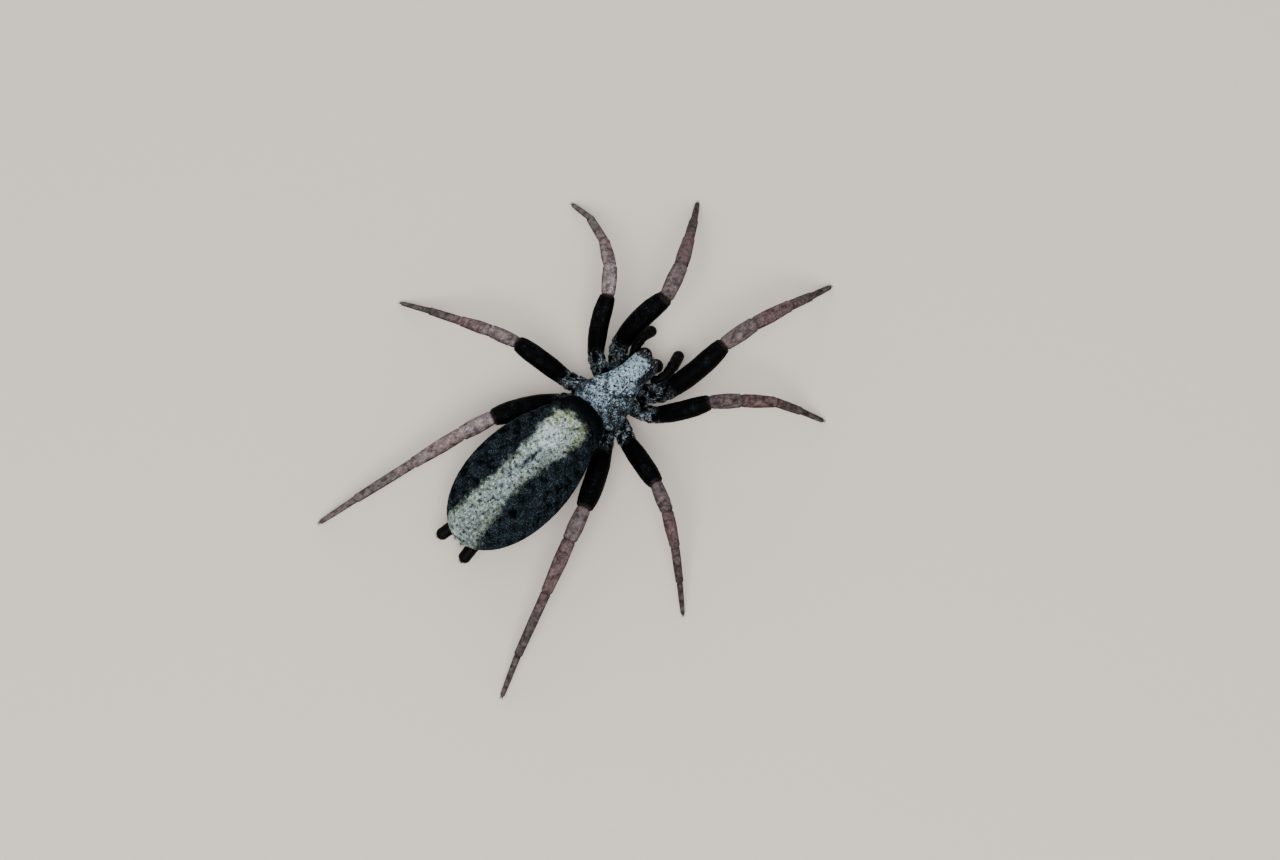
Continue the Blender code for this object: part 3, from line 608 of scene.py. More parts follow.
def shield_paleness(points):
    """High on a field that widens to the rear, 0 in the grooves and among the eyes, full of flecks."""
    x, y = points[..., 0], points[..., 1]
    centre = FIELD_LEAN * (1.0 - smooth_step(y, *LEAN_FADES))
    half = FIELD_HALF + FIELD_WIDENING * smooth_step(y, *FIELD_WIDENS)
    # Painted shade: the pale field is narrower on the right.
    shaded_right = RIGHT_SHADE_NARROWING * (x < centre) * smooth_step(y, *RIGHT_SHADE_FROM)
    middle = 1.0 - smooth_step(np.abs(x - centre) / half + shaded_right, *FIELD_EDGE)
    wedges = WEDGES * (1.0 - smooth_step(np.abs(x), *WEDGES_END)) * smooth_step(y, *WEDGES_FROM)
    bright = BRIGHTNESS - REAR_LOSS * smooth_step(y, *REAR_DULLS)
    # Painted shade: duller on the right.
    bright = bright - RIGHT_SHADE * smooth_step(-x, *RIGHT_SHADE_SPAN)
    streak = bell(x - STREAK_SLANT * (y - STREAK_ORIGIN), 0.0, STREAK_WIDTH)
    bright += STREAK * streak * (1.0 - smooth_step(y, *STREAK_FADES))
    sparks = SPARKS * spots(points, *SPARK_SPOTS) * middle
    pits = PITS * spots(points, *PIT_SPOTS)
    grooves = GROOVE_DARKNESS * furrows(x, y, GROOVE_BREADTH * FURROW_WIDTH)
    pale = np.maximum(bright * middle, wedges) + ripples(points, BLOTCHES) + sparks - pits - grooves
    among_eyes = 1.0 - smooth_step(y, *EYE_FIELD)
    return np.clip(pale, 0.0, 1.0) * (1.0 - (1.0 - EYE_FIELD_SHARE) * among_eyes)


paleness = shield_paleness(carapace_surface)
shield_colours = mixed(SHIELD_BLACK, SHIELD_GREY, SKIN_PALENESS * paleness)
lay_skin("carapace_skin", carapace_surface, shield_colours, SHIELD_SKIN, "grey_shield", "carapace")

# %% Carapace coat
HAIR_BLACK, HAIR_SLATE, HAIR_WHITE = paint(4, 5, 7), paint(102, 122, 138), paint(216, 241, 255)
SLATE_LEVELS, WHITE_LEVELS, SHIELD_SCATTER = (0.10, 0.50), (0.56, 1.0), 0.30
SHIELD_HAIRS, DARK_SHARE = 12000, 0.30
EYE_FIELD_LENGTH, EXTRA_LENGTH, SHIELD_HAIR = 0.08, 0.09, (0.028, 0.38, 0.45)
upper = (carapace_surface[..., 2] > RIM_HEIGHT - SHIELD_COAT) * clear_of_eyes(carapace_surface)
shield_roots = sow(carapace_surface, SHIELD_HAIRS, (DARK_SHARE + paleness) * upper)
pale_here = shield_paleness(shield_roots["root"]) + RANDOM.normal(size=SHIELD_HAIRS) * SHIELD_SCATTER
shield_tints = mixed(HAIR_BLACK, HAIR_SLATE, smooth_step(pale_here, *SLATE_LEVELS))
shield_tints = mixed(shield_tints, HAIR_WHITE, smooth_step(pale_here, *WHITE_LEVELS))
shield_length = EYE_FIELD_LENGTH + EXTRA_LENGTH * smooth_step(shield_roots["root"][:, 1], *EYE_FIELD)
shield_coat = coat_from("carapace_coat", shield_roots, (shield_length, *SHIELD_HAIR), shield_tints)
dress(shield_coat, PALE_HAIR, "grey_shield")

# %% [markdown]
# A few black bristles stand up among the flat hair, closest together at the front edge over the
# jaws.

# %% Carapace bristles
BRISTLES, BRISTLE_SHAPE = 260, (0.26, 0.016, 1.0, 0.6)
BRISTLE_BLACK = paint(10, 10, 12)
BRISTLES_BEHIND, BRISTLE_SPREAD = 0.15, 0.35
edge_weight = upper * (BRISTLES_BEHIND + bell(carapace_surface[..., 1], HEAD_FRONT, BRISTLE_SPREAD))
bristle_roots = sow(carapace_surface, BRISTLES, edge_weight)
dress(coat_from("head_bristles", bristle_roots, BRISTLE_SHAPE, BRISTLE_BLACK), DARK_HAIR, "grey_shield")

# %% [markdown]
# The abdomen
#
# The abdomen is a long egg, widest behind its middle. Its blunt front stands over the waist, its
# widest line sinks towards the rear, and its flanks draw in below, where the hind thighs lie
# against them. Half width and height are powers of a sine, so both ends close smoothly, and the
# width leans to the rear by a share of the cosine. A low power makes a blunt end.

# %% Abdomen form
ABDOMEN_REAR, ABDOMEN_HALF_WIDTH, ABDOMEN_REARWARD = 6.95, 1.86, 0.12
ABDOMEN_FRONT_HEIGHT, ABDOMEN_REAR_HEIGHT, SINKS = 2.38, 1.46, (0.10, 0.95)
ABDOMEN_ROOF, ABDOMEN_BELLY, ABDOMEN_UNDERCUT, ABDOMEN_SQUARENESS = 1.04, 1.52, 0.24, 2.1
WIDTH_POWER, SHOULDER_CHANGE, REAR_CHANGE = 0.68, 0.54, -0.20
SHOULDER_SPAN, REAR_SPAN = (0.12, 0.33), (0.40, 0.60)
ROOF_POWER, BELLY_POWER = 0.85, 1.3
FUR_DEPTH = 0.04


def middle_height(y):
    """Height of the abdomen's widest line, a smooth step down from front to rear."""
    share = (y - ABDOMEN_FRONT) / (ABDOMEN_REAR - ABDOMEN_FRONT)
    to_rear = np.arccos(np.clip(1.0 - 2.0 * share, -1.0, 1.0)) / np.pi
    return ABDOMEN_FRONT_HEIGHT + (ABDOMEN_REAR_HEIGHT - ABDOMEN_FRONT_HEIGHT) * smooth_step(to_rear, *SINKS)


def abdomen_grid(rows=240, columns=200):
    """Width is the sine to a power that changes along the body; the roof is low, the belly deep."""
    along, around = body_angles(rows, columns)
    side, up = np.cos(around), np.sin(around)
    swell, to_rear = np.sin(along), along / np.pi
    y = between_ends(along, ABDOMEN_FRONT + FUR_DEPTH, ABDOMEN_REAR - FUR_DEPTH)
    power = WIDTH_POWER + SHOULDER_CHANGE * smooth_step(to_rear, *SHOULDER_SPAN)
    power = power + REAR_CHANGE * smooth_step(to_rear, *REAR_SPAN)
    width = (ABDOMEN_HALF_WIDTH - FUR_DEPTH) * (1.0 - ABDOMEN_REARWARD * np.cos(along)) * swell**power
    roof = (ABDOMEN_ROOF - FUR_DEPTH) * swell**ROOF_POWER
    belly = (ABDOMEN_BELLY - FUR_DEPTH) * swell**BELLY_POWER
    x = width * (1.0 + ABDOMEN_UNDERCUT * np.minimum(up, 0.0)) * squared(side, ABDOMEN_SQUARENESS)
    z = middle_height(y) + np.where(up > 0, roof, belly) * squared(up, ABDOMEN_SQUARENESS)
    return np.stack([x, y, z], axis=-1)


abdomen_surface = abdomen_grid()
print("abdomen, mm:", np.round(np.ptp(abdomen_surface, axis=(0, 1)), 2))

# %% [markdown]
# The pale band starts square behind a black lip, narrows past the middle, and widens again to
# cover the whole rear end, and it swerves a little to the left on its way. Its half width is
# read between a few stations along the back. A short dark streak marks the heart, and the folds
# round the rear end are painted as waves of light and shade.

# %% The band's outline, the heart mark and the rear folds
BAND_HALF_WIDTHS = {
    0.95: 0.66, 1.30: 0.82, 2.20: 0.75, 2.80: 0.62, 3.30: 0.57, 3.90: 0.56,
    4.50: 0.55, 5.20: 0.63, 5.80: 0.70, 6.30: 0.80, 6.95: 0.85,
}
BAND_START, BAND_SWERVE, SWERVE_MIDDLE, SWERVE_REACH = 0.93, 0.11, 4.4, 2.0
CORNER_CUT, CORNER_REACH = 0.09, 0.25
RAGGED_EDGE = ((0.05, 0.30, 21), (0.03, 0.12, 22))
HEART_Y, HEART_HALF_LENGTH, HEART_HALF_WIDTH, HEART_FULL = 3.15, 0.62, 0.065, 0.6
HEART_WAVER, HEART_WAVES, HEART_STRENGTH = 0.03, 9.0, 1.4
HEART_LIGHT, HEART_BREAKS = 0.80, ((0.40, 0.16, 26),)
FOLD_CENTRE, FOLD_SPACING, FOLDS_FROM = np.array([0.0, 7.1, 1.1]), 0.22, (6.0, 6.5)
FOLD_WAVER = ((0.03, 0.5, 30),)


def band_middle(y):
    """How far the middle of the band leans to the left: a bell along the body."""
    return BAND_SWERVE * bell(y, SWERVE_MIDDLE, SWERVE_REACH)


def band_depth(points):
    """How far a point lies inside the ragged edge of the band, in millimetres; negative outside it."""
    x, y, z = points[..., 0], points[..., 1], points[..., 2]
    sides, front = through(y, BAND_HALF_WIDTHS) - np.abs(x - band_middle(y)), y - BAND_START
    corner = CORNER_CUT * bell(sides - front, 0.0, CORNER_REACH)
    inside = np.minimum(sides, front) - corner + ripples(points, RAGGED_EDGE)
    return np.where(z > middle_height(y), inside, -1.0)


def heart_mark(points):
    """1 on a thin wavering streak along the middle, broken by a ripple, and 0 away from it."""
    x, y = points[..., 0], points[..., 1]
    streak = bell(x - band_middle(y) + HEART_WAVER * np.sin(HEART_WAVES * y), 0.0, HEART_HALF_WIDTH)
    ends = 1.0 - smooth_step(np.abs(y - HEART_Y), HEART_FULL * HEART_HALF_LENGTH, HEART_HALF_LENGTH)
    return np.clip(HEART_STRENGTH * streak * ends * (HEART_LIGHT + ripples(points, HEART_BREAKS)), 0.0, 1.0)


def rear_folds(points):
    """Waves of the distance from the rear end, up to 1 on the last part of the back and 0 before it."""
    away = np.linalg.norm(points - FOLD_CENTRE, axis=-1) + ripples(points, FOLD_WAVER)
    return np.sin(2.0 * np.pi * away / FOLD_SPACING) * smooth_step(points[..., 1], *FOLDS_FROM)


inside_band = band_depth(abdomen_surface)
print("widest reach inside the band, mm:", np.round(inside_band.max(), 2))

# %% [markdown]
# The band is silver at the front, then ash, then a duller grey, and speckled all over, with
# painted light that makes it paler on the left. A green tinge lies on its front and along its
# edges, which fade over a hair or two into the black of the flanks. The flanks have a blue-grey
# glint, and the belly is dull.

# %% Abdomen markings
BAND_SILVER, BAND_ASH, BAND_GREY = paint(212, 232, 233), paint(156, 174, 173), paint(139, 154, 150)
BAND_GREEN, BAND_SPECK, HEART_BLUE = paint(160, 172, 136), paint(16, 22, 22), paint(18, 30, 42)
FLANK_BLACK, FLANK_BLUE, BELLY_GREY = paint(6, 8, 10), paint(94, 114, 125), paint(46, 43, 41)
ASH_FROM, GREY_FROM = (1.9, 3.2), (4.4, 5.6)
GREEN_PATCHES, EDGE_FADES, FRONT_FADES = (0.30, 27, -0.3, 0.9), (0.10, 0.55), (1.3, 2.6)
EDGE_GREEN, EDGE_PATCH_GREEN = 0.15, 0.35
FRONT_GREEN, FRONT_PATCH_GREEN, CORNER_GREEN = 0.20, 0.45, 0.35
BAND_SHADES, FOLD_SHADE, DARKEST = ((0.34, 0.26, 28), (0.37, 0.12, 29)), 0.20, 0.15
# Painted light: the band is lit paler on its left side than on its right.
RIGHT_LIGHT, LEFT_LIGHT_GAIN, ACROSS_BAND = 0.80, 0.46, (-0.55, 0.55)
SPECKS, SPECK_LEVELS, SPECK_DARKNESS = ((1.0, 0.15, 23), (0.4, 0.08, 24)), (1.03, 1.43), 0.85
RIM_DARKNESS, RIM_FADES = 0.80, (-0.04, 0.26)
LIP_ENDS, LIP_LOSS = (0.5, 1.3), 0.95
FLANK_LIGHT, FLANK_PATCHES = 0.6, ((0.4, 0.45, 25), (0.3, 0.15, 31))
BELLY_SHARE, BELLY_BELOW = 0.7, (-1.1, -0.7)
SKIN_GLINT, SKIN_LIGHT, SKIN_EDGE = 0.05, 0.35, (-0.04, 0.08)


def band_colour(points):
    """Silver, ash, then grey to the rear, green at the front and edges, specked, painted lighter on the
    left.
    """
    depth, x, y = band_depth(points), points[..., 0], points[..., 1]
    patches = spots(points, *GREEN_PATCHES)
    edge, to_front = 1.0 - smooth_step(depth, *EDGE_FADES), 1.0 - smooth_step(y, *FRONT_FADES)
    green = (EDGE_GREEN + EDGE_PATCH_GREEN * patches) * edge
    green = green + to_front * (FRONT_GREEN + FRONT_PATCH_GREEN * patches + CORNER_GREEN * edge)
    pale = mixed(BAND_SILVER, BAND_ASH, smooth_step(y, *ASH_FROM))
    pale = mixed(mixed(pale, BAND_GREY, smooth_step(y, *GREY_FROM)), BAND_GREEN, green)
    # Random light and dark patches, painted shade in the rear folds, and painted light on the left.
    shading = 1.0 + ripples(points, BAND_SHADES) + FOLD_SHADE * rear_folds(points)
    shading = np.maximum(shading, DARKEST) * (RIGHT_LIGHT + LEFT_LIGHT_GAIN * smooth_step(x, *ACROSS_BAND))
    specks = smooth_step(ripples(points, SPECKS), *SPECK_LEVELS)
    dark = SPECK_DARKNESS * specks + RIM_DARKNESS * (1.0 - smooth_step(depth, *RIM_FADES))
    return mixed(mixed(pale * shading[..., None], BAND_SPECK, dark), HEART_BLUE, heart_mark(points))


def flank_colour(points, glint):
    """Black with a blue-grey glint, which fails over the front lip, and a dull grey on the belly."""
    lip = 1.0 - smooth_step(points[..., 1], *LIP_ENDS)
    patches = np.clip(FLANK_LIGHT + ripples(points, FLANK_PATCHES), 0.0, 1.0)
    night = mixed(FLANK_BLACK, FLANK_BLUE, glint * patches * (1.0 - LIP_LOSS * lip))
    return mixed(night, BELLY_GREY, BELLY_SHARE * smooth_step(-points[..., 2], *BELLY_BELOW))


flank_skin = flank_colour(abdomen_surface, SKIN_GLINT)
band_skin = SKIN_LIGHT * band_colour(abdomen_surface)
abdomen_colours = mixed(flank_skin, band_skin, smooth_step(inside_band, *SKIN_EDGE))
lay_skin("abdomen_skin", abdomen_surface, abdomen_colours, ABDOMEN_SKIN, "banded_abdomen", "abdomen")

# %% [markdown]
# Two coats cover the abdomen. Pale, flat hair grows on the band, thinning at its edges. Dark
# hair covers the rest, some of it strays onto the band, and one in twelve stands up and breaks
# the outline. It is longest over the front lip, where it arches over the waist like a fringe.

# %% Abdomen coats
BAND_HAIRS, BAND_HAIR, BAND_DRAW, BAND_THINS = 15000, (0.16, 0.026, 0.26, 0.30), (0.45, 1.55), (-0.07, 0.12)
FLANK_HAIRS, FLANK_SWAY, FLANK_THINS, STRAY_LOSS = 19500, 0.30, (-0.03, 0.15), 0.93
FLAT_HAIR, STANDING_HAIR, FRINGE_EXTRA = (0.17, 0.028, 0.28), (0.26, 0.014, 0.85), (0.08, 0.0, 0.20)
STANDING_SHARE, FRINGE_ENDS = 1 / 12, (0.45, 1.1)
GLINTING_SHARE, GLINT_DRAW, DULL_GLINT = 0.90, (0.30, 0.60), 0.10
pale_roots = sow(abdomen_surface, BAND_HAIRS, smooth_step(inside_band, *BAND_THINS))
pale_tints = band_colour(pale_roots["root"]) * RANDOM.uniform(*BAND_DRAW, BAND_HAIRS)[:, None]
dress(coat_from("band_coat", pale_roots, BAND_HAIR, pale_tints), PALE_HAIR, "banded_abdomen")

dark_roots = sow(abdomen_surface, FLANK_HAIRS, 1.0 - STRAY_LOSS * smooth_step(inside_band, *FLANK_THINS))
fringe = 1.0 - smooth_step(dark_roots["root"][:, 1], *FRINGE_ENDS)
standing = lottery(FLANK_HAIRS, STANDING_SHARE)
glinting = lottery(FLANK_HAIRS, GLINTING_SHARE)
dark_tints = flank_colour(
    dark_roots["root"], np.where(glinting, RANDOM.uniform(*GLINT_DRAW, FLANK_HAIRS), DULL_GLINT)
)
kinds = zip(STANDING_HAIR, FLAT_HAIR, FRINGE_EXTRA)
dark_shape = [np.where(standing, tall, flat) + extra * fringe for tall, flat, extra in kinds]
dark_coat = coat_from("flank_coat", dark_roots, (*dark_shape, FLANK_SWAY), dark_tints)
dress(dark_coat, DARK_HAIR, "banded_abdomen")

# %% [markdown]
# Skins along a path
#
# Legs, palps, jaws, fangs, claws and spinnerets are profiles carried along a path. The path is
# a line through the joints with its corners eased, and at each step a ring is laid across it.
# The ring's sideways direction is square to the path and to a fixed direction that the path
# never takes, so the rings don't twist.

# %% A profile carried along a path
UPRIGHT, SIDEWAYS, FORWARD = (0, 0, 1), (1, 0, 0), (0.3, 1, 0.1)


def eased(line, reach):
    """The line averaged with its neighbours over a bell of that many samples, its ends kept straight."""
    weights = np.hanning(2 * reach + 3)[1:-1]
    before = 2.0 * line[0] - line[reach:0:-1]
    after = 2.0 * line[-1] - line[-2 : -2 - reach : -1]
    padded = np.concatenate([before, line, after])
    return np.stack([np.convolve(values, weights / weights.sum(), "valid") for values in padded.T], axis=-1)


def tube_grid(line, radius, columns, square_to, flatness=1.0):
    """Rings along a line: radius times side * cosine + flatness * up * sine."""
    way = unit(np.gradient(line, axis=0))
    side = unit(np.cross(way, np.asarray(square_to, float)))
    up = np.cross(side, way) * np.broadcast_to(flatness, len(line))[:, None]
    around = np.arange(columns)[None, :, None] * 2.0 * np.pi / columns
    rings = side[:, None, :] * np.cos(around) + up[:, None, :] * np.sin(around)
    return line[:, None, :] + np.asarray(radius)[:, None, None] * rings


def closed_ends(distance, radius, start_length, end_length):
    """Radius brought to nothing at both ends along quarter ellipses of the given lengths."""
    start = rounded(1.0 - np.clip(distance / start_length, 0.0, 1.0), 2.0)
    end = rounded(1.0 - np.clip((distance[-1] - distance) / end_length, 0.0, 1.0), 2.0)
    return radius * start * end


def path_through(points, samples):
    """Even places on straight runs between points, the distance gone, and the count of points passed."""
    points = np.asarray(points, float)
    gone = np.concatenate([[0.0], np.cumsum(np.linalg.norm(np.diff(points, axis=0), axis=1))])
    distance = np.linspace(0.0, gone[-1], samples)
    line = np.stack([np.interp(distance, gone, values) for values in points.T], axis=-1)
    return line, distance, np.interp(distance, gone, np.arange(len(gone)))


# %% [markdown]
# The legs
#
# Each leg repeats the solids' table: five lengths with their headings, and a climb for all but
# the last, which reaches down to the floor. The real leg is thinner towards its end than the
# solid, which has to stay stout. Every joint is a pinched ring with a thin soft skin in it, just
# behind a raised rim, and the hip has one pinch more, where the short ring of the trochanter
# begins. Half thickness, in hundredths of a millimetre, is read between a few places counted in
# joints and then eased: the hip is 1, the knee 2, the shin starts at 3 and the foot ends at 6.

# %% Leg tables
LEG_BASES = {1: (0.46, -1.38, 1.06), 2: (0.55, -0.86, 1.04), 3: (0.55, -0.36, 1.04), 4: (0.46, 0.14, 1.02)}
LEG_HIPS = {1: (1.20, -2.15, 1.25), 2: (1.53, -1.30, 1.22), 3: (1.58, 0.06, 1.25), 4: (1.12, 0.80, 1.22)}
SEGMENT_LENGTHS = {
    1: (2.79, 1.32, 1.66, 1.35, 1.14),
    2: (2.28, 1.11, 1.37, 1.40, 1.09),
    3: (2.28, 1.06, 1.36, 1.45, 1.25),
    4: (2.60, 1.24, 2.04, 2.49, 1.61),
}
LEG_POSES = {
    ("right", 1): ((7, 10, 11, 8, 8), (20, 6, -22, -44)),
    ("right", 2): ((36, 42, 40, 50, 58), (28, 5, -26, -47)),
    ("right", 3): ((103, 112, 120, 125, 127), (28, -1, -27, -38)),
    ("right", 4): ((149.5, 158, 158, 159, 156), (17, -2, -13, -18)),
    ("left", 1): ((-5, 23, 33, 35, 37), (39, -8, -38, -46)),
    ("left", 2): ((33, 43, 58, 73, 91), (28, -6, -34, -31)),
    ("left", 3): ((103, 110, 112, 112, 115), (21, -10, -26, -27)),
    ("left", 4): ((152.5, 164, 166, 166, 166), (14, -3, -12, -16)),
}
FEMUR_ARCH, FOOT_HEIGHT, HUNDREDTH = 0.09, 0.085, 0.01
FEMUR_BOWS = {1: 0.10, 2: 0.08, 3: 0.0, 4: -0.07}
LEG_HALF_THICKNESS = {
    "hip and thigh": {0.0: 28, 0.4: 35, 0.7: 36, 0.95: 34, 1.06: 33, 1.3: 38, 1.72: 38, 1.90: 34, 1.98: 28},
    "knee and shin": {2.05: 26, 2.3: 28.5, 2.6: 30, 2.93: 26.5, 3.05: 25, 3.4: 26.5, 3.95: 21},
    "ankle": {4.06: 18.5, 4.5: 18, 4.95: 16},
    "foot": {5.07: 12.5, 5.5: 11.5, 6.0: 8.5},
}
LEG_STOUTNESS, LOWER_FROM = {1: (1.0, 1.0), 2: (0.90, 0.92), 3: (0.94, 0.86), 4: (1.03, 0.98)}, (1.9, 2.1)
PINCHED_JOINTS, PINCH_DEPTH, PINCH_WIDTH = (0.72, 1.0, 2.0, 3.0, 4.0, 5.0), 0.17, 0.045
RIM_RISE, RIM_PLACE, RIM_WIDTH = 0.05, -0.09, 0.05
LEG_DEEPNESS, LEG_ENDS, LINE_EASE, RADIUS_EASE = 1.05, (0.2, 0.10), 5, 3


# %% A leg's joints and rings
def leg_joints(side, number):
    """The leg's joints in order: each is the last one plus a length along its heading and climb."""
    headings, climbs = LEG_POSES[side, number]
    joints = list(mirrored([LEG_BASES[number], LEG_HIPS[number]], side))
    for index, length in enumerate(SEGMENT_LENGTHS[number]):
        reaching = index == len(climbs)
        climb = np.arcsin((FOOT_HEIGHT - joints[-1][2]) / length) if reaching else np.radians(climbs[index])
        heading = np.radians(headings[index])
        level = np.array([SIDES[side] * np.sin(heading), -np.cos(heading), 0.0])
        joints.append(joints[-1] + length * (level * np.cos(climb) + (0.0, 0.0, np.sin(climb))))
    return np.array(joints)


def leg_grid(side, number, samples=300, columns=40):
    """Rings along the eased joint line, with a pinch at each joint and a rim before it."""
    joints = leg_joints(side, number)
    line, distance, passed = path_through(joints, samples)
    ahead = unit((joints[2] - joints[1]) * (1, 1, 0))
    rearward = SIDES[side] * np.array([-ahead[1], ahead[0], 0.0])
    swing = FEMUR_BOWS[number] * rearward + (0.0, 0.0, FEMUR_ARCH)
    line += swing * np.sin(np.pi * np.clip(passed - 1.0, 0.0, 1.0))[:, None]
    near, far = LEG_STOUTNESS[number]
    stoutness = near + (far - near) * smooth_step(passed, *LOWER_FROM)
    sizes = {place: size for part in LEG_HALF_THICKNESS.values() for place, size in part.items()}
    radius = eased((HUNDREDTH * through(passed, sizes) * stoutness)[:, None], RADIUS_EASE)[:, 0]
    for joint in PINCHED_JOINTS:
        beside = distance - np.interp(joint, passed, distance)
        pinch = PINCH_DEPTH * bell(beside, 0.0, PINCH_WIDTH)
        radius = radius * (1.0 - pinch + RIM_RISE * bell(beside, RIM_PLACE, RIM_WIDTH))
    radius = closed_ends(distance, radius, *LEG_ENDS)
    return tube_grid(eased(line, LINE_EASE), radius, columns, UPRIGHT, LEG_DEEPNESS), passed


feet = np.array([leg_joints(*leg)[-1] for leg in LEG_POSES])
print("span of the feet, mm:", np.round(np.ptp(feet, axis=0), 2))

# %% [markdown]
# The rings of the hip are dusted with blue-grey hair, most on the third pair. The thigh is
# velvet black with a faint blue-grey gleam on top. From the knee on the cuticle is red-brown,
# with painted shade below, and mauve-grey down lies in patches along its upper side together
# with a painted highlight, so that a leg is grey from above and red at its sides. The left legs
# are painted paler than the right ones, a painted sheen where light runs along their hair. Each
# joint from the knee on is a dark line.

# %% Leg colours
THIGH_BLACK, THIGH_BLUE = paint(1, 1, 2), paint(52, 62, 72)
KNEE_BROWN, SHIN_RED, FOOT_BROWN = paint(79, 68, 68), paint(77, 59, 58), paint(62, 55, 54)
JOINT_DARK, DOWN_AND_HIGHLIGHT_MAUVE, HIP_GREY = paint(22, 13, 13), paint(206, 189, 189), paint(168, 183, 193)
SHIN_FROM, FOOT_FROM, KNEE_FROM = (2.9, 3.1), (3.8, 4.6), (1.96, 2.02)
SHIN_REDNESS, SIDE_REDNESS = 0.7, 0.4
UNDERSIDE_LIGHT, TOP_GAIN, LIGHT_FROM = 0.45, 0.60, (-0.3, 0.7)
LINED_JOINTS, LINE_WIDTH, LINE_DARKNESS = (2.0, 3.0, 4.0, 5.0), 0.022, 0.85
MOTTLES, MOTTLE_FLOOR = ((0.38, 0.26, 43), (0.38, 0.13, 44)), 0.25


def leg_tint(passed, top):
    """Black, then from the knee on brown, red and brown, with painted shade below, and a dark line at each
    joint.
    """
    red = SHIN_REDNESS * smooth_step(passed, *SHIN_FROM) + SIDE_REDNESS * (1.0 - np.abs(top))
    lower = mixed(mixed(KNEE_BROWN, SHIN_RED, red), FOOT_BROWN, smooth_step(passed, *FOOT_FROM))
    # Painted shade: the underside of the leg is darker than its top.
    lower = lower * (UNDERSIDE_LIGHT + TOP_GAIN * smooth_step(top, *LIGHT_FROM))[..., None]
    tint = mixed(THIGH_BLACK, lower, smooth_step(passed, *KNEE_FROM))
    lines = sum(bell(passed, joint, LINE_WIDTH) for joint in LINED_JOINTS)
    return mixed(tint, JOINT_DARK, LINE_DARKNESS * lines)


def mottling(points):
    """Brightness about 1, with light and dark patches a quarter and an eighth of a millimetre long."""
    return np.maximum(1.0 + ripples(points, MOTTLES), MOTTLE_FLOOR)[..., None]


# %% Where the legs are grey
# Each leg's share of down and of painted sheen: the left legs are painted paler.
DOWN_AND_SHEEN_SHARES = {"left": {1: 0.40, 2: 1.3, 3: 0.72, 4: 1.4}, "right": {1: 0.36, 2: 0.10, 3: 0.16, 4: 0.40}}
HIP_DUST = {1: 0.58, 2: 0.75, 3: 0.85, 4: 0.60}
HIP_STARTS, HIP_ENDS, HIP_SIDES = (0.05, 0.25), (1.02, 1.20), (-0.5, 0.3)
GREY_PATCHES = ((1.0, 0.30, 41), (0.6, 0.12, 42))
DOWN_LEAST, DOWN_AND_HIGHLIGHT_ON_TOP, DOWN_PATCHES, DOWN_SCATTER = 0.02, 0.55, 0.26, 0.30
DOWN_SIDES, DOWN_FROM = (0.15, 0.95), (1.99, 2.05)
SHIN_LOSS, SHIN_LOSES, FOOT_LOSS, FOOT_LOSES = 0.25, (2.9, 3.2), 0.30, (3.7, 4.6)
DUST_PATCHES, DUST_SCATTER, DUST_LEVELS = 1.3, 0.8, (-0.3, 1.1)
GLEAM_PLACE, GLEAM_REACH, GLEAM_SIDES, GLEAM_LEVELS = 1.70, 0.25, (0.55, 0.95), (-0.2, 1.0)
GLEAMLESS = 0.25


def on_hip(passed):
    """1 on the coxa and its ring, 0 from the thigh on."""
    return smooth_step(passed, *HIP_STARTS) * (1.0 - smooth_step(passed, *HIP_ENDS))


def grey_shares(points, passed, top, draw):
    """How grey a hair is: down and a painted highlight on top beyond the knee, thick dust on the hip, a
    gleam on the thigh.
    """
    patches = ripples(points, GREY_PATCHES)
    # Partly real down and partly a painted highlight along the top.
    down = DOWN_LEAST + DOWN_AND_HIGHLIGHT_ON_TOP * smooth_step(top, *DOWN_SIDES) + DOWN_PATCHES * patches
    down = down + DOWN_SCATTER * (draw - 0.5)
    worn = SHIN_LOSS * smooth_step(passed, *SHIN_LOSES) + FOOT_LOSS * smooth_step(passed, *FOOT_LOSES)
    dusty = smooth_step(DUST_PATCHES * patches + DUST_SCATTER * draw, *DUST_LEVELS)
    hip = on_hip(passed) * smooth_step(top, *HIP_SIDES) * dusty
    gleam = bell(passed, GLEAM_PLACE, GLEAM_REACH) * smooth_step(top, *GLEAM_SIDES)
    gleam = gleam * smooth_step(patches, *GLEAM_LEVELS) * (draw > GLEAMLESS)
    return down * (1.0 - worn) * smooth_step(passed, *DOWN_FROM), hip, gleam


# %% [markdown]
# A leg's hair is short down, longer and closer on the hip, with some standing hair, a few stout
# spines from the knee to the ankle, more of them on the hind pairs, and a tuft under the claws.
# The hair of hip and thigh is a piece of its own, because it is dull, and the rest has more
# sheen.

# %% Legs
LEG_HAIRS, LEG_SWAY, KNEE, TUFT_FROM = 5000, 0.22, 2.0, 5.85
SPINE, STANDING = (0.40, 0.030, 0.85), (0.24, 0.013, 0.85)
DOWN, HIP_EXTRA = (0.13, 0.021, 0.28), (0.08, 0.004, 0.20)
STANDING_ON_LEG, SPINE_SHARES, SPINE_SPAN = 0.14, {1: 0.010, 2: 0.012, 3: 0.030, 4: 0.030}, (2.4, 5.2)
LOWER_WEIGHT, TUFT_WEIGHT, TUFT_LIFT, FOOT_FINENESS, FINER = 0.4, 2.0, 0.25, 0.35, (3.5, 5.8)
LEG_DRAW, STANDING_BLACK, SPINE_BLACK = (0.6, 1.35), 0.6, 0.9
# The skin's shares of down, and of hip dust together with the thigh's painted gleam.
SKIN_DOWN, SKIN_DUST_AND_GLEAM = 0.25, 0.05


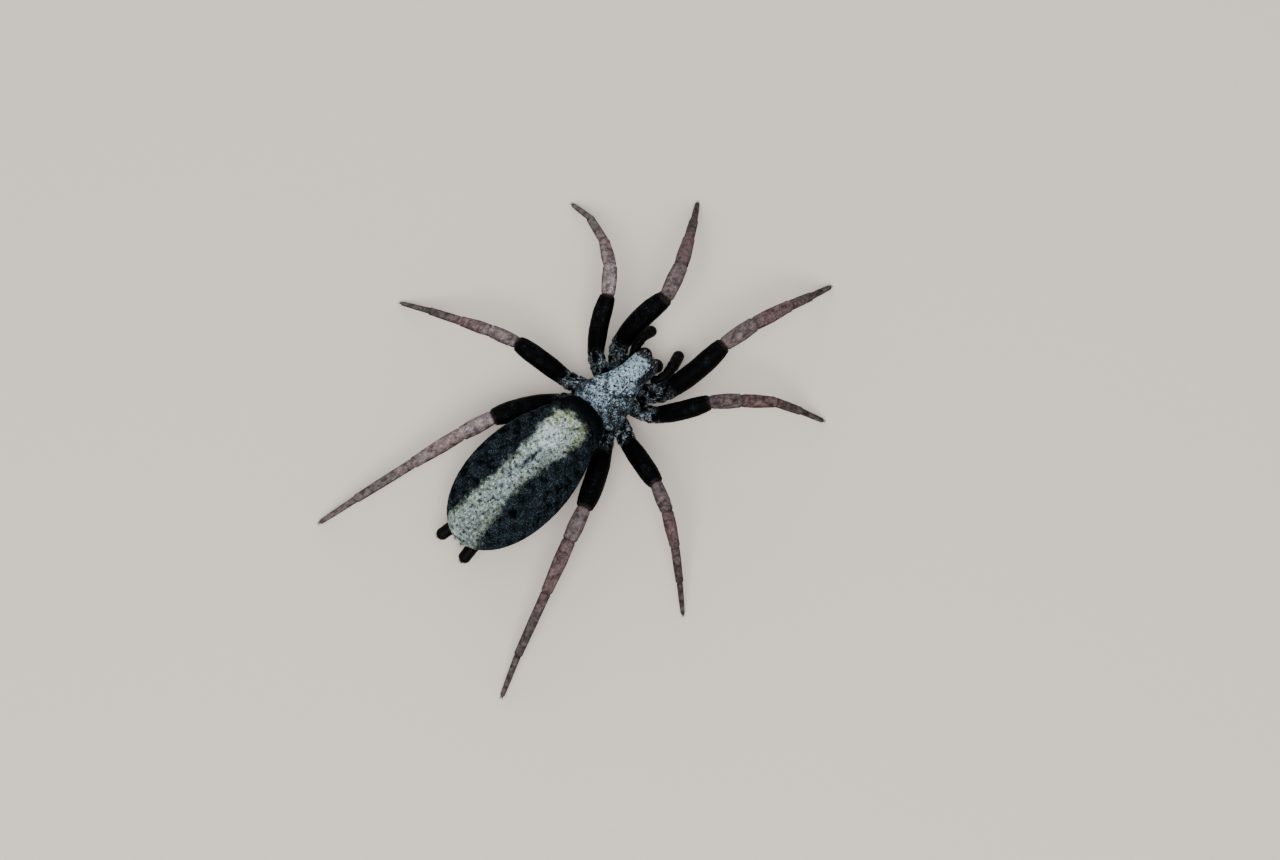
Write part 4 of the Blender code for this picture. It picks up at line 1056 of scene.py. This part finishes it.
def lay_leg_skin(side, number, grid, stations):
    """The leg's skin, tinted by the way gone along it and by how far each point faces up."""
    around = np.arange(grid.shape[1]) * 2 * np.pi / grid.shape[1]
    passed, top = np.broadcast_arrays(stations[:, None], np.sin(around)[None, :])
    down, hip, gleam = grey_shares(grid, passed, top, 0.5)
    shade = leg_tint(passed, top) * mottling(grid)
    # Down with a painted highlight on top, and painted sheen on the left legs.
    shade = mixed(shade, DOWN_AND_HIGHLIGHT_MAUVE, SKIN_DOWN * DOWN_AND_SHEEN_SHARES[side][number] * down)
    shade = mixed(mixed(shade, HIP_GREY, SKIN_DUST_AND_GLEAM * HIP_DUST[number] * hip), THIGH_BLUE, SKIN_DUST_AND_GLEAM * gleam)
    nodes = [f"leg_{side}_{number}_{part}" for part in ("coxa", "femur", "tibia", "tarsus")]
    lay_skin(f"leg_{side}_{number}_skin", grid, shade, LEG_SKIN, "red_brown_leg", *nodes)


def lay_leg_coat(side, number, grid, stations):
    """Roots drawn along the leg, tinted and shaped by their kind and place, as two coats."""
    weight = 1.0 + on_hip(stations) + LOWER_WEIGHT * (stations > KNEE) + TUFT_WEIGHT * (stations > TUFT_FROM)
    roots = sow(grid, LEG_HAIRS, np.broadcast_to(weight[:, None], grid.shape[:2]))
    passed = np.interp(roots["map"][:, 1] * (len(stations) - 1), np.arange(len(stations)), stations)
    top = np.sin(roots["map"][:, 0] * 2 * np.pi)
    down, hip, gleam = grey_shares(roots["root"], passed, top, RANDOM.uniform(size=LEG_HAIRS))
    tints = leg_tint(passed, top) * mottling(roots["root"]) * RANDOM.uniform(*LEG_DRAW, LEG_HAIRS)[:, None]
    # Painted gleam on the thigh, then down with a painted highlight on top and painted sheen on the left
    # legs.
    tints = mixed(mixed(tints, THIGH_BLUE, gleam), DOWN_AND_HIGHLIGHT_MAUVE, DOWN_AND_SHEEN_SHARES[side][number] * down)
    tints = mixed(tints, HIP_GREY, HIP_DUST[number] * hip)
    standing = lottery(LEG_HAIRS, STANDING_ON_LEG)
    spined = (passed > SPINE_SPAN[0]) & (passed < SPINE_SPAN[1])
    spine = lottery(LEG_HAIRS, SPINE_SHARES[number]) & spined
    tints = mixed(tints, BRISTLE_BLACK, STANDING_BLACK * standing + SPINE_BLACK * spine)
    length, width, lift = (
        np.where(spine, stout, np.where(standing, tall, short + extra * on_hip(passed)))
        for stout, tall, short, extra in zip(SPINE, STANDING, DOWN, HIP_EXTRA)
    )
    fine = 1.0 - FOOT_FINENESS * smooth_step(passed, *FINER)
    lift = lift + TUFT_LIFT * (passed > TUFT_FROM) * ~(spine | standing)
    upper_part = ("thigh_coat", passed < KNEE, DARK_HAIR, "black_cuticle")
    lower_part = ("shin_coat", passed >= KNEE, LEG_HAIR, "red_brown_leg")
    for part, here, hair, slot in (upper_part, lower_part):
        some = {label: values[here] for label, values in roots.items()}
        shape = ((length * fine)[here], (width * fine)[here], lift[here], LEG_SWAY)
        dress(coat_from(f"leg_{side}_{number}_{part}", some, shape, tints[here]), hair, slot)


for leg_side, leg_number in LEG_POSES:
    rings = leg_grid(leg_side, leg_number)
    lay_leg_skin(leg_side, leg_number, *rings)
    lay_leg_coat(leg_side, leg_number, *rings)

# %% [markdown]
# Under the shield
#
# Between the shield and the plate below it the real animal is soft and dark, and the leg bases
# are set into it. One closed form fills that space and runs back through the waist into the
# abdomen, so no daylight shows through the thorax from the side.

# %% Thorax filling and waist
WAIST_PATH = ((0, -2.10, 1.40), (0, -0.90, 1.32), (0, 0.25, 1.26), (0, 1.35, 1.58))
WAIST_HALVES = {-2.1: 0.38, -1.6: 0.44, -0.6: 0.68, 0.0: 0.52, 0.35: 0.22, 1.4: 0.20}
WAIST_FLATNESS = {-2.1: 0.70, -0.6: 0.38, 0.0: 0.42, 0.35: 1.0}
WAIST_SAMPLES, WAIST_COLUMNS, WAIST_EASE = 90, 40, 8
WAIST_ENDS, WAIST_BLACK = (0.35, 0.2), paint(14, 12, 12)
waist_line, waist_distance, _ = path_through(WAIST_PATH, WAIST_SAMPLES)
waist_line = eased(waist_line, WAIST_EASE)
waist_radius = closed_ends(waist_distance, through(waist_line[:, 1], WAIST_HALVES), *WAIST_ENDS)
waist_flatness = through(waist_line[:, 1], WAIST_FLATNESS)
waist_rings = tube_grid(waist_line, waist_radius, WAIST_COLUMNS, UPRIGHT, waist_flatness)
lay_skin("waist_skin", waist_rings, WAIST_BLACK, BLACK_SKIN, "black_cuticle", "pedicel")

# %% [markdown]
# The sternum is the shield-shaped plate between the leg bases, seen from below, with a bay at
# its edge for each leg and a thin cover of hair.

# %% Sternum
STERNUM_FRONT, STERNUM_REAR, STERNUM_HALF_WIDTH = -1.56, 0.10, 0.55
STERNUM_FLOOR, STERNUM_ROOF, STERNUM_SQUARENESS = 0.78, 1.38, 4.0
STERNUM_TAPER, TAPERS, WIDTH_ROUNDING, EDGE_ROUNDING = 0.22, (0.45, 1.0), 0.8, 0.35
BAY_DEPTH, BAY_WIDTH = 0.05, 0.12
STERNUM_BROWN, STERNUM_GREY = paint(26, 18, 16), paint(50, 46, 46)
STERNUM_HAIRS, STERNUM_HAIR, HAIR_BELOW = 900, (0.14, 0.018, 0.6, 0.3), 0.95


def sternum_grid(rows=70, columns=72):
    """A squared egg with upright edges, narrower to the rear, with a shallow bay opposite each leg base."""
    along, around = body_angles(rows, columns)
    swell = np.sin(along)
    y = between_ends(along, STERNUM_FRONT, STERNUM_REAR)
    taper = 1.0 - STERNUM_TAPER * smooth_step(along / np.pi, *TAPERS)
    bays = sum(bell(y, base[1], BAY_WIDTH) for base in LEG_BASES.values())
    reach = (STERNUM_HALF_WIDTH * taper - BAY_DEPTH * bays) * swell**WIDTH_ROUNDING
    x = reach * squared(np.cos(around), STERNUM_SQUARENESS)
    middle, half = (STERNUM_FLOOR + STERNUM_ROOF) / 2, (STERNUM_ROOF - STERNUM_FLOOR) / 2
    z = middle + half * swell**EDGE_ROUNDING * squared(np.sin(around), STERNUM_SQUARENESS)
    return np.stack([x, y, z], axis=-1)


sternum_surface = sternum_grid()
lay_skin("sternum_skin", sternum_surface, STERNUM_BROWN, BLACK_SKIN, "black_cuticle", "sternum")
sternum_roots = sow(sternum_surface, STERNUM_HAIRS, (sternum_surface[..., 2] < HAIR_BELOW) * 1.0)
sternum_coat = coat_from("sternum_coat", sternum_roots, STERNUM_HAIR, STERNUM_GREY)
dress(sternum_coat, DARK_HAIR, "black_cuticle")

# %% [markdown]
# Jaws, fangs and mouth
#
# Two swollen jaws hang in front of the face and show from above as black bulges beyond the pale
# head. Each carries a curved fang folded across its end. Behind them lie two mouth pads and a
# small lip between. One function makes any such organ from its path, its radii and its hair.

# %% An organ along a path
ORGAN_PINCH, ORGAN_PINCH_WIDTH = 0.08, 0.05
ORGAN_HAIR_WIDTH, ORGAN_LIFT, ORGAN_SWAY = 0.017, 0.4, 0.3
ORGAN_STANDING, STANDING_LENGTH, STANDING_LIFT = 1 / 7, 1.7, 0.9
FRINGE_FROM, FACING_UP, ORGAN_DRAW = (0.75, 0.95), (0.2, 0.8), (0.3, 1.0)


def organ_grid(points, radii, square_to, samples=70, columns=32, ends=(0.12, 0.12), ease=6, joints=()):
    """Rings through the points with their own radii, pinched at joints, closed at both ends."""
    line, distance, passed = path_through(points, samples)
    radius = eased(np.interp(passed, np.arange(len(radii)), radii)[:, None], ease)[:, 0]
    for joint in joints:
        pinch = bell(distance, np.interp(joint, passed, distance), ORGAN_PINCH_WIDTH)
        radius = radius * (1.0 - ORGAN_PINCH * pinch)
    return tube_grid(eased(line, ease), closed_ends(distance, radius, *ends), columns, square_to)


def lay_organ_coat(name, grid, hairs, colour, glint, share, length=0.12, fringe=0.0):
    """Short hair, a share of it grey where it faces up as a painted highlight, one in seven standing, a
    fringe at the tip.
    """
    roots = sow(grid, hairs, np.ones(grid.shape[:2]))
    length = length * (1.0 + fringe * smooth_step(roots["map"][:, 1], *FRINGE_FROM))
    standing = lottery(hairs, ORGAN_STANDING)
    # Painted highlight: hairs that face up take the glint colour.
    facing_up = smooth_step(roots["normal"][:, 2], *FACING_UP)
    tints = mixed(colour, glint, facing_up * lottery(hairs, share) * RANDOM.uniform(*ORGAN_DRAW, hairs))
    length = length * np.where(standing, STANDING_LENGTH, 1.0)
    lift = np.where(standing, STANDING_LIFT, ORGAN_LIFT)
    coat = coat_from(name, roots, (length, ORGAN_HAIR_WIDTH, lift, ORGAN_SWAY), tints)
    dress(coat, DARK_HAIR, "black_cuticle")


def egg_grid(centre, halves, rows=40, columns=36):
    """A closed egg about a centre: sine and cosine times its half sizes."""
    along, around = body_angles(rows, columns)
    across, up = np.sin(along) * np.cos(around), np.sin(along) * np.sin(around)
    return np.asarray(centre) + np.stack([across, -np.cos(along), up], axis=-1) * np.asarray(halves)


# %% Jaws and mouth parts
JAW_BLACK, JAW_GLINT = paint(4, 4, 5), paint(84, 92, 100)
MOUTH_BROWN, FANG_BROWN = paint(36, 24, 20), paint(62, 26, 18)
JAW_PATH = ((0.27, -2.20, 1.60), (0.295, -2.57, 1.44), (0.265, -2.62, 1.08), (0.24, -2.60, 0.66))
JAW_RADII = (0.17, 0.265, 0.22, 0.14)
# The jaws' grey share is a painted highlight on their upper side.
JAW_HAIRS, JAW_HIGHLIGHT_SHARE = 800, 0.15
FANG_BEND = ((0.24, -2.60, 0.80), (0.25, -2.63, 0.48), (0.20, -2.60, 0.41))
FANG_PATH = (*FANG_BEND, (0.13, -2.49, 0.38), (0.07, -2.37, 0.39))
FANG_RADII, FANG_ENDS = (0.08, 0.08, 0.06, 0.04, 0.012), (0.05, 0.03)
PAD_CENTRE, PAD_HALVES = (0.26, -2.02, 1.02), (0.14, 0.26, 0.17)
LIP_CENTRE, LIP_HALVES = (0.0, -1.81, 1.02), (0.09, 0.14, 0.12)
for side_name in SIDES:
    jaw = organ_grid(mirrored(JAW_PATH, side_name), JAW_RADII, SIDEWAYS)
    lay_skin(f"jaw_{side_name}_skin", jaw, JAW_BLACK, BLACK_SKIN, "black_cuticle", f"chelicera_{side_name}")
    lay_organ_coat(f"jaw_{side_name}_coat", jaw, JAW_HAIRS, JAW_BLACK, JAW_GLINT, JAW_HIGHLIGHT_SHARE)
    fang_path = mirrored(FANG_PATH, side_name)
    fang = organ_grid(fang_path, FANG_RADII, FORWARD, samples=60, columns=20, ends=FANG_ENDS, ease=3)
    lay_skin(f"fang_{side_name}_hook", fang, FANG_BROWN, POLISHED_HORN, "fang", f"fang_{side_name}")
    pad = egg_grid(mirrored(PAD_CENTRE, side_name), PAD_HALVES)
    lay_skin(f"mouth_pad_{side_name}", pad, MOUTH_BROWN, BLACK_SKIN, "black_cuticle", f"endite_{side_name}")
lip_pad = egg_grid(LIP_CENTRE, LIP_HALVES)
lay_skin("lower_lip", lip_pad, MOUTH_BROWN, BLACK_SKIN, "black_cuticle", "labium")

# %% [markdown]
# The palps are short feelers beside the jaws, of five short segments. A female's end in a plain
# rounded foot, a little swollen, with blue-grey hair and a painted highlight on top.

# %% Palps
PALP_PATHS = {
    "left": ((0.47, -2.12), (0.67, -2.38), (0.84, -2.72), (0.92, -3.10), (0.85, -3.60)),
    "right": ((0.47, -2.12), (0.66, -2.36), (0.72, -2.70), (0.63, -3.14), (0.41, -3.67)),
}
PALP_HEIGHTS = (0.98, 0.96, 0.98, 0.96, 0.61)
PALP_RADII, PALP_JOINTS, PALP_ENDS = (0.17, 0.17, 0.19, 0.215, 0.205), (1.0, 2.0, 2.6, 3.1), (0.12, 0.20)
# The palps' grey share is blue-grey hair and a painted highlight.
PALP_HAIRS, PALP_HAIR_AND_HIGHLIGHT_SHARE, PALP_HAIR_LENGTH, PALP_GLINT = 1500, 0.60, 0.14, paint(128, 142, 156)
for side_name in SIDES:
    name = f"palp_{side_name}"
    palp_path = mirrored(np.column_stack([PALP_PATHS[side_name], PALP_HEIGHTS]), side_name)
    form = {"samples": 120, "ends": PALP_ENDS, "ease": 8, "joints": PALP_JOINTS}
    palp = organ_grid(palp_path, PALP_RADII, UPRIGHT, **form)
    nodes = (f"{name}_femur", f"{name}_tarsus")
    lay_skin(f"{name}_skin", palp, JAW_BLACK, BLACK_SKIN, "black_cuticle", *nodes)
    palp_hair = (PALP_GLINT, PALP_HAIR_AND_HIGHLIGHT_SHARE, PALP_HAIR_LENGTH)
    lay_organ_coat(f"{name}_coat", palp, PALP_HAIRS, JAW_BLACK, *palp_hair)

# %% [markdown]
# Spinnerets
#
# This family is known by its front spinnerets: two stout, separate tubes that stand out beyond
# the abdomen, with rounded ends. A thinner, shorter pair lies between them, and a third, very
# small pair under that one is only in this scene. Each is given by its root, its tip, its half
# thickness and its number of hairs.

# %% Spinnerets
# The spinnerets' grey share is a painted highlight on their upper side.
SPINNERET_BLACK, SPINNERET_GLINT, SPINNERET_HIGHLIGHT_SHARE = paint(3, 3, 4), paint(38, 42, 44), 0.3
SPINNERET_TAPER, SPINNERET_START, SPINNERET_ROUNDING, SPINNERET_FRINGE = 0.95, 0.1, 0.8, 1.2
SPINNERETS = {
    "front": ((0.47, 6.30, 1.02), (0.61, 7.30, 0.92), 0.235, 560),
    "rear": ((0.13, 6.20, 1.00), (0.15, 6.86, 0.92), 0.10, 130),
    "middle": ((0.05, 6.20, 0.84), (0.05, 6.70, 0.80), 0.045, 50),
}
for side_name in SIDES:
    for row, (root, tip, thick, hairs) in SPINNERETS.items():
        name = f"spinneret_{side_name}_{row}"
        path, radii = mirrored([root, tip], side_name), (thick, SPINNERET_TAPER * thick)
        ends = (SPINNERET_START, SPINNERET_ROUNDING * thick)
        tube = organ_grid(path, radii, UPRIGHT, samples=50, columns=28, ends=ends, ease=2)
        replaced = [] if row == "middle" else [name]
        lay_skin(f"{name}_skin", tube, SPINNERET_BLACK, BLACK_SKIN, "black_cuticle", *replaced)
        grey = (SPINNERET_GLINT, SPINNERET_HIGHLIGHT_SHARE)
        lay_organ_coat(f"{name}_coat", tube, hairs, SPINNERET_BLACK, *grey, fringe=SPINNERET_FRINGE)

# %% [markdown]
# Eyes and claws
#
# Eight small eyes sit in two rows on the front of the head, black and wet-looking, each sunk a
# little so that the skin rises round it. Each foot ends in two small hooked claws.

# %% Eyes
EYE_BLACK, EYE_SUNK = paint(7, 7, 9), 0.012
for node, centre, radius in zip(EYE_NODES, EYE_CENTRES, EYE_RADII):
    lens = egg_grid(centre - (0.0, 0.0, EYE_SUNK), (radius,) * 3, rows=24, columns=28)
    lay_skin(f"{node}_lens", lens, EYE_BLACK, GLOSSY_EYE, "eye", node)

# %% [markdown]
# A claw is a short run forward from the foot, then a bend down towards the floor. Its points
# are steps forward, aside and up from the end of the foot.

# %% Claws
CLAW_BROWN = paint(30, 20, 18)
CLAW_RADII, CLAW_ENDS = (0.022, 0.018, 0.004), (0.02, 0.01)
CLAW_STEPS = np.array([(-0.06, 0.03, 0.0), (0.04, 0.03, 0.015), (0.10, 0.04, -0.04)])
for leg_side, leg_number in LEG_POSES:
    *_, ankle, foot = leg_joints(leg_side, leg_number)
    forward = unit((foot - ankle) * (1, 1, 0))
    aside = np.array([-forward[1], forward[0], 0.0])
    for letter, turn in (("a", 1.0), ("b", -1.0)):
        path = foot + CLAW_STEPS @ np.array([forward, turn * aside, UPRIGHT])
        claw = organ_grid(path, CLAW_RADII, UPRIGHT, samples=18, columns=10, ends=CLAW_ENDS, ease=2)
        lay_skin(f"claw_{leg_side}_{leg_number}{letter}", claw, CLAW_BROWN, POLISHED_HORN, "fang")

# %% [markdown]
# Floor, light and camera
#
# The photograph looks down on the animal in plain daylight from a bright, even sky. A pale
# floor, a broad overhead panel, a weaker one at the side and a pale surround give the same. A
# panel is given by its place and width in metres and its power in watts. The camera looks from
# behind the animal's right hip and nearly overhead, with a long lens.

# %% Floor and surround
FLOOR_HALF, FLOOR_TINT, FLOOR_ROUGHNESS = 1.5, paint(218, 206, 193), 0.9
SKY_TINT, SKY_STRENGTH = (0.92, 0.96, 1.0, 1.0), 0.7
floor_mesh = bpy.data.meshes.new("floor")
floor_corners = FLOOR_HALF * np.array([[-1, -1, 0], [1, -1, 0], [1, 1, 0], [-1, 1, 0]])
floor_mesh.from_pydata(floor_corners.tolist(), [], [(0, 1, 2, 3)])
floor = bpy.data.objects.new("floor", floor_mesh)
bpy.context.scene.collection.objects.link(floor)
floor_finish = bpy.data.materials.new("pale floor")
floor_finish.use_nodes = True
floor_shader = floor_finish.node_tree.nodes["Principled BSDF"]
set_inputs(floor_shader, {"Base Color": (*FLOOR_TINT, 1.0), "Roughness": FLOOR_ROUGHNESS})
floor_mesh.materials.append(floor_finish)
floor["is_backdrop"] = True

surround = bpy.data.worlds.new("surround")
surround.use_nodes = True
set_inputs(surround.node_tree.nodes["Background"], {"Color": SKY_TINT, "Strength": SKY_STRENGTH})
bpy.context.scene.world = surround
print("floor, m:", 2 * FLOOR_HALF)

# %% Lights
PANELS = {"overhead": ((-0.05, 0.06, 0.16), 0.12, 0.34), "fill": ((0.14, -0.10, 0.08), 0.10, 0.08)}
for name, (place, size, power) in PANELS.items():
    lamp = bpy.data.lights.new(name, "AREA")
    lamp.size, lamp.energy = size, power
    holder = bpy.data.objects.new(name, lamp)
    holder.location = place
    holder.rotation_euler = Vector([-value for value in place]).to_track_quat("-Z", "Y").to_euler()
    bpy.context.scene.collection.objects.link(holder)
    print(f"{name} panel: {size} m across, {power} W")

# %% Camera
ELEVATION, HEADING = np.radians(78.0), np.radians(226.5)
CAMERA_DISTANCE, PIXELS_PER_MM, FRAME_WIDTH, SENSOR = 150.0, 28.0, 1280, 36.0
AIM = np.array([-1.59, -0.55, 1.37])
level = np.array([np.sin(HEADING), -np.cos(HEADING), 0.0])
backwards = level * np.cos(ELEVATION) + (0.0, 0.0, np.sin(ELEVATION))
camera_data = bpy.data.cameras.new("camera")
camera_data.sensor_width = SENSOR
camera_data.lens = PIXELS_PER_MM * CAMERA_DISTANCE / FRAME_WIDTH * SENSOR
camera_data.clip_start, camera_data.clip_end = 0.01, 5.0
camera = bpy.data.objects.new("camera", camera_data)
camera.location = in_frame(AIM + backwards * CAMERA_DISTANCE)
camera.rotation_euler = Vector(-backwards).to_track_quat("-Z", "Y").to_euler()
bpy.context.scene.collection.objects.link(camera)
bpy.context.scene.camera = camera
print("lens, mm:", round(camera_data.lens, 1))

# %% Size of the dressed animal beside the solids
VISUAL_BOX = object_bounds()
boxes = {"cad": [list(corner) for corner in CAD_BOX], "visual": [list(corner) for corner in VISUAL_BOX]}
for label, box in boxes.items():
    print(label, "box, mm:", np.round(np.array(box) / MM, 2).tolist())
